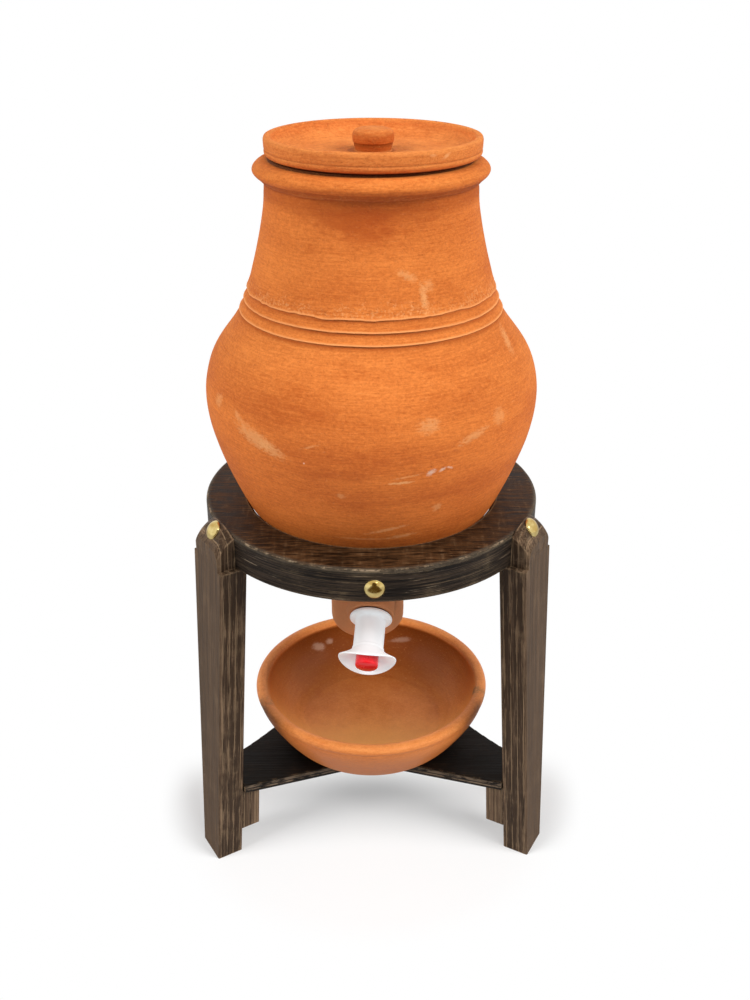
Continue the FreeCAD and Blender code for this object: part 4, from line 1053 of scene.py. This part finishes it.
def pot_outline():
    """The closed outline from the nub's underside, up the outside, over the rim and down the inside."""
    side = smooth_through(above_ring((32, -108), (62, -58), (102.2, -3), (121.9, 42), (132, 93), (123.4, 126),
                                     (103.7, 154), (90.9, 189), (79.5, 252.6)), start=(0.1, 1), end=(0, 1))
    collar = smooth_through(above_ring((79.5, 252.6), (87.7, 262.2), (80.3, 268.8)), start=(0.35, 1),
                            end=(-1, 0.1), spacing=MM)
    seat = above_ring((76.2, 269.1), (75.6, 270.9))
    nub = np.vstack([above_ring((0, -138), (18, -138)),
                     quarter_round(*above_ring((18, -138), (32, -124)), count=14), above_ring((32, -108))])
    along = np.gradient(side, axis=0)
    along /= np.linalg.norm(along, axis=1)[:, None]
    inside = side + POT_WALL * np.column_stack([-along[:, 1], along[:, 0]])
    mouth = above_ring((70, 270.9))
    floor = above_ring((20, -128), (0, -128))
    return np.vstack([nub, side, collar, seat, mouth, inside[::-1], floor])


def pot_spacing(line):
    """Rows are close at the ridges, the collar and the nub, and far apart on the inside."""
    rise = line[:, 1] - RING_TOP
    step = np.full(len(line), 3.4 * MM)
    step[(rise > 153 * MM) & (rise < 182 * MM)] = 0.48 * MM
    step[rise < -84 * MM] = 1.3 * MM
    step[rise > 244 * MM] = 0.8 * MM
    top = int(np.argmax(rise > 270.5 * MM)) if (rise > 270.5 * MM).any() else len(line)
    step[top + 80:] = 7 * MM
    return step


TAP_TURN = math.radians(-1.7)
TAP_YAW = math.radians(-5.0)
TAP_TILT = math.radians(30.0)
TAP_ROLL = math.radians(4.0)
TAP_REACH = 38 * MM
TAP_DROP = 110 * MM
CLAY_FACE = -5.7 * MM         # along the tap's axis, from the front of its collar
BOSS_RADIUS = 21 * MM
SEAT_DEPTH = 4.6 * MM           # the hidden recess behind the collar, where the valve's seal moves back
SEAT_RADIUS = 12.5 * MM
tap_matrix = (Matrix.Rotation(TAP_TURN, 4, "Z") @ Matrix.Translation((0, -TAP_REACH, RING_TOP - TAP_DROP))
              @ Matrix.Rotation(TAP_YAW, 4, "Z") @ Matrix.Rotation(math.radians(90) + TAP_TILT, 4, "X")
              @ Matrix.Rotation(-TAP_ROLL, 4, "Z"))


def flatten_for_tap(grid):
    """Presses a round flat for the tap: near its axis, each point slides along the axis to one plane.
    The share that a point slides falls smoothly from 1 to 0 across the lip of the flat. Inside the flat,
    out of sight, a recess of the same kind gives the valve room."""
    local = in_place(grid, tap_matrix.inverted())
    away = np.hypot(local[..., 0], local[..., 1])
    outer = (local[..., 2] > CLAY_FACE - 14 * MM) & (away < BOSS_RADIUS + 4 * MM)
    share = np.clip((BOSS_RADIUS + 1.2 * MM - away) / (3.2 * MM), 0, 1)
    share = share * share * (3 - 2 * share) * outer
    bulge = 0.0016 * np.exp(-((away - 20 * MM) / (1.8 * MM)) ** 2) * outer
    sunk = np.clip((SEAT_RADIUS - away) / (3 * MM), 0, 1)
    sunk = sunk * sunk * (3 - 2 * sunk) * outer
    local[..., 2] += (CLAY_FACE - local[..., 2]) * share + bulge * (share > 0) - SEAT_DEPTH * sunk
    return in_place(local, tap_matrix)


def pot_grid():
    outline = evened(pot_outline(), pot_spacing)
    outside = np.arange(len(outline)) < np.argmax(outline[:, 1])
    grid, turn = turned(outline, POT_COLUMNS)
    rows = len(outline)
    rise = outline[:, 1, None] - RING_TOP
    away_from_axis = np.clip(outline[:, 0, None] / (60 * MM), 0, 1)
    slow = 0.45 * MM * soft_noise(rows, POT_COLUMNS, 14, 5, seed=3)
    rings = 0.16 * MM * soft_noise(rows, POT_COLUMNS, 90, 3, seed=4)
    band = np.exp(-((rise - 179 * MM) / (4.0 * MM)) ** 2) + 0.6 * np.exp(-((rise - 254 * MM) / (3 * MM)) ** 2)
    chips = 0.30 * MM * soft_noise(rows, POT_COLUMNS, 150, 144, seed=5) * band
    seated = 1 - np.exp(-((rise + 3 * MM) / (14 * MM)) ** 2)
    ridges = ridge_lift(outline[:, 1], POT_COLUMNS)
    push = (slow * seated + rings * seated + chips + ridges * MM) * away_from_axis * outside[:, None]
    grid[..., 0] += push * np.cos(turn)
    grid[..., 1] += push * np.sin(turn)
    sunk = np.clip((-rise - 45 * MM) / (55 * MM), 0, 1)
    grid[..., 0] -= NUB_LEFT * sunk * sunk * (3 - 2 * sunk)
    return flatten_for_tap(grid), ridges * outside[:, None]


def mark(made, name, values):
    """Stores one value for each point of a piece made of a single grid; its two closing points get 0."""
    stored = np.concatenate([[0], values[1:-1].reshape(-1), [0]])
    made.data.attributes.new(name, "FLOAT", "POINT").data.foreach_set("value", stored)
    print(name, "from", round(float(stored.min()), 2), "to", round(float(stored.max()), 2))


thrown_pot, pot_relief = pot_grid()
pot = piece("pot_thrown", [thrown_pot], pot_clay, "pot", ["pot"])
mark(pot, "relief", pot_relief)

# %% [markdown]
# ## Lid and drip bowl
# Both are thrown too. The lid is a shallow dish with a thick raised edge and a knob that has a groove
# round it; the bowl has a thick rim band. The outlines have a few corners, and softening them all at once
# gives the worn, sponged edges of real clay.

# %% Lid and bowl
LID_OFF_CENTRE = 1.4 * MM       # the loose lid sits a little to one side


def wavering(outline, columns, amount, seed):
    """The turned grid with slow unevenness added away from the axis."""
    grid, turn = turned(outline, columns)
    push = amount * soft_noise(len(outline), columns, 10, 5, seed) * np.clip(outline[:, 0, None] / 0.03, 0, 1)
    grid[..., 0] += push * np.cos(turn)
    grid[..., 1] += push * np.sin(turn)
    grid[..., 2] += 0.4 * push * (outline[:, 1, None] > outline[:, 1].min() + 2 * MM)
    return grid


def lid_outline():
    dish = smooth_through(above_ring((73.7, 282.8), (53.7, 274.2)), start=(-0.3, -1), end=(-1, 0), spacing=MM)
    side = above_ring((0, 266.3), (66.3, 266.3), (66.3, 271.1), (75.4, 271.1), (78.6, 272.2), (79.9, 274.2),
                      (79.9, 276.0), (79.3, 276.6), (79.9, 277.3), (80.1, 283.2))
    lip = above_ring((79.4, 285.3), (77.0, 285.9), (74.8, 285.2))
    knob = above_ring((13.0, 274.2), (13.4, 276.0), (14.3, 279.0), (14.0, 279.7), (14.9, 280.5),
                      (15.3, 283.5), (15.2, 286.2), (13.9, 288.6), (11.0, 289.9), (0, 290.1))
    return softened(np.vstack([side, lip, dish, knob]), 0.8 * MM, 0.6 * MM)


def bowl_outline():
    """A flat foot, a full side, a crease, and a rim band as round as a rope."""
    foot = SHELF_TOP

    def above_foot(*pairs):
        return [(radius * MM, foot + rise * MM) for radius, rise in pairs]

    outside = smooth_through(above_foot((76.5, 0), (95.2, 24), (104.6, 44.5)), start=(0.75, 0.66),
                             end=(0.2, 1))
    inside = smooth_through(above_foot((94.6, 48.6), (85.2, 24), (58, 9)), start=(0, -1), end=(-1, 0))
    band = above_foot((104.4, 45.2), (105.6, 46.4), (105.8, 48.6), (104.9, 50.8), (102.6, 52.2), (99.6, 52.4),
                      (96.6, 51.6), (95.2, 50.0))
    return softened(np.vstack([above_foot((0, 0)), outside, band, inside, above_foot((0, 9))]), 0.8 * MM,
                    0.9 * MM)


lid_grid = wavering(lid_outline(), 220, 0.3 * MM, 7)
lid_grid[..., 0] += LID_OFF_CENTRE
piece("lid_thrown", [lid_grid], lid_clay, "lid", ["lid"])
piece("drip_bowl_thrown", [wavering(bowl_outline(), 240, 0.35 * MM, 8)], bowl_clay, "bowl",
      ["drip_bowl"])

# %% [markdown]
# ## Brass domes
# Each leg and each bay of the ring has a pressed brass dome. A dome is a shallow cap with a thin rolled
# rim; the outline is turned once and copied to six places, which come from the stand's own sizes.

# %% Domes
DOME_RADIUS = 7.9 * MM
DOME_HEIGHT = 4.0 * MM
LEG_DOME_TILT = math.radians(36)
LEG_DOME_OUT, LEG_DOME_DROP = 6.5 * MM, 1.3 * MM     # from the ring's side and from its top
RIM_DOME_DROP = 16.3 * MM


def dome_grid():
    """A cap: height = H (1 - (r / R) squared) to the power 0.62, with a small flat rim."""
    radius = np.linspace(0, DOME_RADIUS * 0.94, 26)
    cap = np.column_stack([radius, DOME_HEIGHT * (1 - (radius / DOME_RADIUS) ** 2) ** 0.62])
    rim = [(DOME_RADIUS * 0.96, 0.75 * MM), (DOME_RADIUS, 0.55 * MM), (DOME_RADIUS, 0.1 * MM),
           (DOME_RADIUS * 0.96, 0.02 * MM), (0, 0.02 * MM)]
    return turned(np.vstack([cap, rim]), 48)[0]


def dome_places(turns, place):
    return [in_place(dome_grid(), Matrix.Rotation(math.radians(turn), 4, "Z") @ place) for turn in turns]


leg_dome = (Matrix.Translation((RING_RADIUS + LEG_DOME_OUT, 0, RING_TOP - LEG_DOME_DROP))
            @ Matrix.Rotation(math.radians(90) - LEG_DOME_TILT, 4, "Y"))
rim_dome = (Matrix.Translation((math.sqrt(RING_RADIUS ** 2 - DOME_RADIUS ** 2), 0, RING_TOP - RIM_DOME_DROP))
            @ Matrix.Rotation(math.radians(90), 4, "Y"))
piece("leg_domes", dome_places((90, 210, 330), leg_dome), brass, "stand", ["leg_studs"])
piece("rim_domes", dome_places((150, 270, 30), rim_dome), brass, "stand", ["rim_studs"])

# %% [markdown]
# ## The tap
# The tap is one white moulding: a tail through the clay, a round collar, a plain barrel, a bead and a
# flared guard that shields the button. Everything up to the bead is round. The guard blends from that
# circle to a wide ellipse, and its lip is cut back towards the sides along a parabola, which gives the
# pointed, eye-shaped mouth. One grid carries it all, from the tail's end to the floor of the pocket; the
# spout is a second one. The button is a hollow cup over a coil spring, which shortens as the button goes in.

# %% Tap body, button and spring
GUARD_START = 28.5 * MM
GUARD_LENGTH = 12.5 * MM
GUARD_HALF_HEIGHT = 20.8 * MM
GUARD_HALF_WIDTH = 24.5 * MM
GUARD_SWEEP = 5.7 * MM
GUARD_WALL = 2.0 * MM
POCKET_RADIUS = 10.1 * MM
POCKET_FLOOR = 26 * MM
BEAD_RADIUS = 13.5 * MM
TAP_COLUMNS = 160
BUTTON_CEILING = 41.1 * MM      # the underside of the button's crown, on which the spring bears
SPRING_RADIUS, WIRE_RADIUS, SPRING_TURNS = 6.4 * MM, 0.45 * MM, 5
SPRING_START, SPRING_END = POCKET_FLOOR + 0.55 * MM, BUTTON_CEILING - 0.65 * MM


def guard_rows(start_radius, wall, rows):
    """Rows of the guard from its root to its lip. At share t the section is an ellipse with half sizes
    root + t (mouth - root), and t runs to where the height meets the lip, which is at
    end - sweep (x / half width) squared."""
    turn = np.linspace(0, 2 * np.pi, TAP_COLUMNS, endpoint=False)
    wide = BEAD_RADIUS + (GUARD_HALF_WIDTH - BEAD_RADIUS) * GUARD_LENGTH / (GUARD_LENGTH - GUARD_SWEEP) - wall
    tall = GUARD_HALF_HEIGHT - wall
    end = np.ones_like(turn)
    for _ in range(30):
        x = np.cos(turn) * (start_radius + end * (wide - start_radius))
        end = 0.5 * end + 0.5 * (1 - GUARD_SWEEP * (x / GUARD_HALF_WIDTH) ** 2 / GUARD_LENGTH)
    along = np.linspace(0, 1, rows)[:, None]
    share = along * end
    flare = share - 0.10 * np.sin(np.pi * along)
    x = np.cos(turn) * (start_radius + flare * (wide - start_radius))
    y = np.sin(turn) * (start_radius + flare * (tall - start_radius))
    return np.stack([x, y, GUARD_START + share * GUARD_LENGTH], axis=-1)


def round_rows(outline):
    turn = np.linspace(0, 2 * np.pi, TAP_COLUMNS, endpoint=False)
    radius, height = np.array(outline)[:, 0, None], np.array(outline)[:, 1, None]
    return np.stack([radius * np.cos(turn), radius * np.sin(turn), height + 0 * turn], axis=-1)


def tap_grid():
    collar = [(16.4, -4.2), (17.3, -3.9), (17.9, -3.3), (18.2, -2.5), (18.2, -1.7), (17.9, -0.9),
              (17.3, -0.3), (16.4, 0.0)]
    neck = [(13.8, 0.1), (13.3, 0.35), (12.97, 0.9), (12.9, 2.0)]
    behind = np.array([(0, -33), (8.6, -33), (9.0, -32.6), (9.0, -4.2)] + collar + neck) * MM
    barrel = np.array([(12.9, z) for z in np.linspace(3, 25.4, 12)]
                      + [(12.97, 25.8), (13.3, 26.2), (13.5, 26.9), (13.5, 27.8)]) * MM
    outer = guard_rows(BEAD_RADIUS, 0.0, 22)
    inner = guard_rows(POCKET_RADIUS, GUARD_WALL, 22)[::-1]
    middle = 0.5 * (outer[-1] + inner[0])
    middle[:, 2] += 0.45 * MM
    near_outer = 0.82 * outer[-1] + 0.18 * inner[0]
    near_outer[:, 2] += 0.33 * MM
    near_inner = 0.18 * outer[-1] + 0.82 * inner[0]
    near_inner[:, 2] += 0.33 * MM
    lip = np.stack([near_outer, middle, near_inner])
    pocket = round_rows(np.array([(10.1, 28.0), (10.1, 26.3), (9.8, 26.0), (0, 26.0)]) * MM)
    return np.vstack([round_rows(behind), round_rows(barrel), outer, lip, inner[:-1], pocket])


def spout_grid():
    """A short tube under the barrel, with a rounded end and its bore."""
    profile = np.array([(0, 0), (6.5, 0), (6.5, 21.6), (6.2, 22.6), (5.4, 23.0), (4.6, 22.8), (4.2, 22.2),
                        (4.2, 13.5), (0, 13.5)]) * MM
    grid, _ = turned(profile, 64)
    return in_place(grid, Matrix.Translation((0, 0, 11 * MM))
                    @ Matrix.Rotation(math.radians(90) - TAP_TILT, 4, "X"))


def button_grid():
    """A hollow cup with an eased edge and a crown that is part of a ball."""
    side = [(0, BUTTON_CEILING / MM), (8.1, BUTTON_CEILING / MM), (8.1, 31.5), (9.3, 31.5), (9.7, 31.9),
            (9.7, 41.6), (9.6, 42.3), (9.2, 42.95), (8.5, 43.4)]
    crown = [(r, 45.0 - 1.55 * (r / 8.5) ** 2) for r in np.linspace(7.8, 0, 10)]
    return turned(np.array(side + crown) * MM, 72)[0]


def spring_grid():
    """The return spring: a wire whose middle line climbs evenly as it turns round the stem."""
    turn = np.linspace(0, 2 * np.pi * SPRING_TURNS, 48 * SPRING_TURNS)
    climb = (SPRING_END - SPRING_START) / turn[-1]
    out = np.column_stack([np.cos(turn), np.sin(turn), 0 * turn])
    ahead = np.column_stack([-SPRING_RADIUS * np.sin(turn), SPRING_RADIUS * np.cos(turn), climb + 0 * turn])
    ahead /= np.linalg.norm(ahead, axis=1)[:, None]
    across = np.cross(out, ahead)
    middle = out * SPRING_RADIUS + np.column_stack([0 * turn, 0 * turn, SPRING_START + climb * turn])
    round_it = np.linspace(0, 2 * np.pi, 10, endpoint=False)[None, :, None]
    wire = np.cos(round_it) * out[:, None] + np.sin(round_it) * across[:, None]
    return middle[:, None] + WIRE_RADIUS * wire


piece("tap_moulding", [in_place(g, tap_matrix) for g in (tap_grid(), spout_grid())], white_plastic, "pot",
      ["tap_body"])
piece("tap_push_button", [in_place(button_grid(), tap_matrix)], red_plastic, "valve",
      ["tap_button"])
spring = piece("tap_spring_wire", [in_place(spring_grid(), tap_matrix)], spring_wire, "pot",
               ["tap_return_spring"])
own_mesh(spring)

# %% [markdown]
# ## Nodes that keep their own shape
# The boards, screws and hidden valve parts have the right form already, so they only get a finish: the
# material goes into the slots of the node's own object.

# %% Finish the remaining nodes
def finish_node(name, material):
    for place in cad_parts[name].material_slots:
        place.material = material


finish_node("ring", ring_wood)
finish_node("shelf", shelf_wood)
for side in LEG_TURNS:
    finish_node("leg_" + side, leg_woods[side])
    finish_node("cleat_" + side, leg_woods[side])
small_parts = {"cleat_screws": steel, "shelf_screws": steel, "tap_outer_washer": rubber,
               "tap_inner_washer": rubber, "tap_back_nut": white_plastic, "tap_stem_oring": rubber,
               "tap_stem": stem_plastic, "tap_valve_seal": rubber}
for name, material in small_parts.items():
    finish_node(name, material)
print("finished", 8 + len(small_parts))
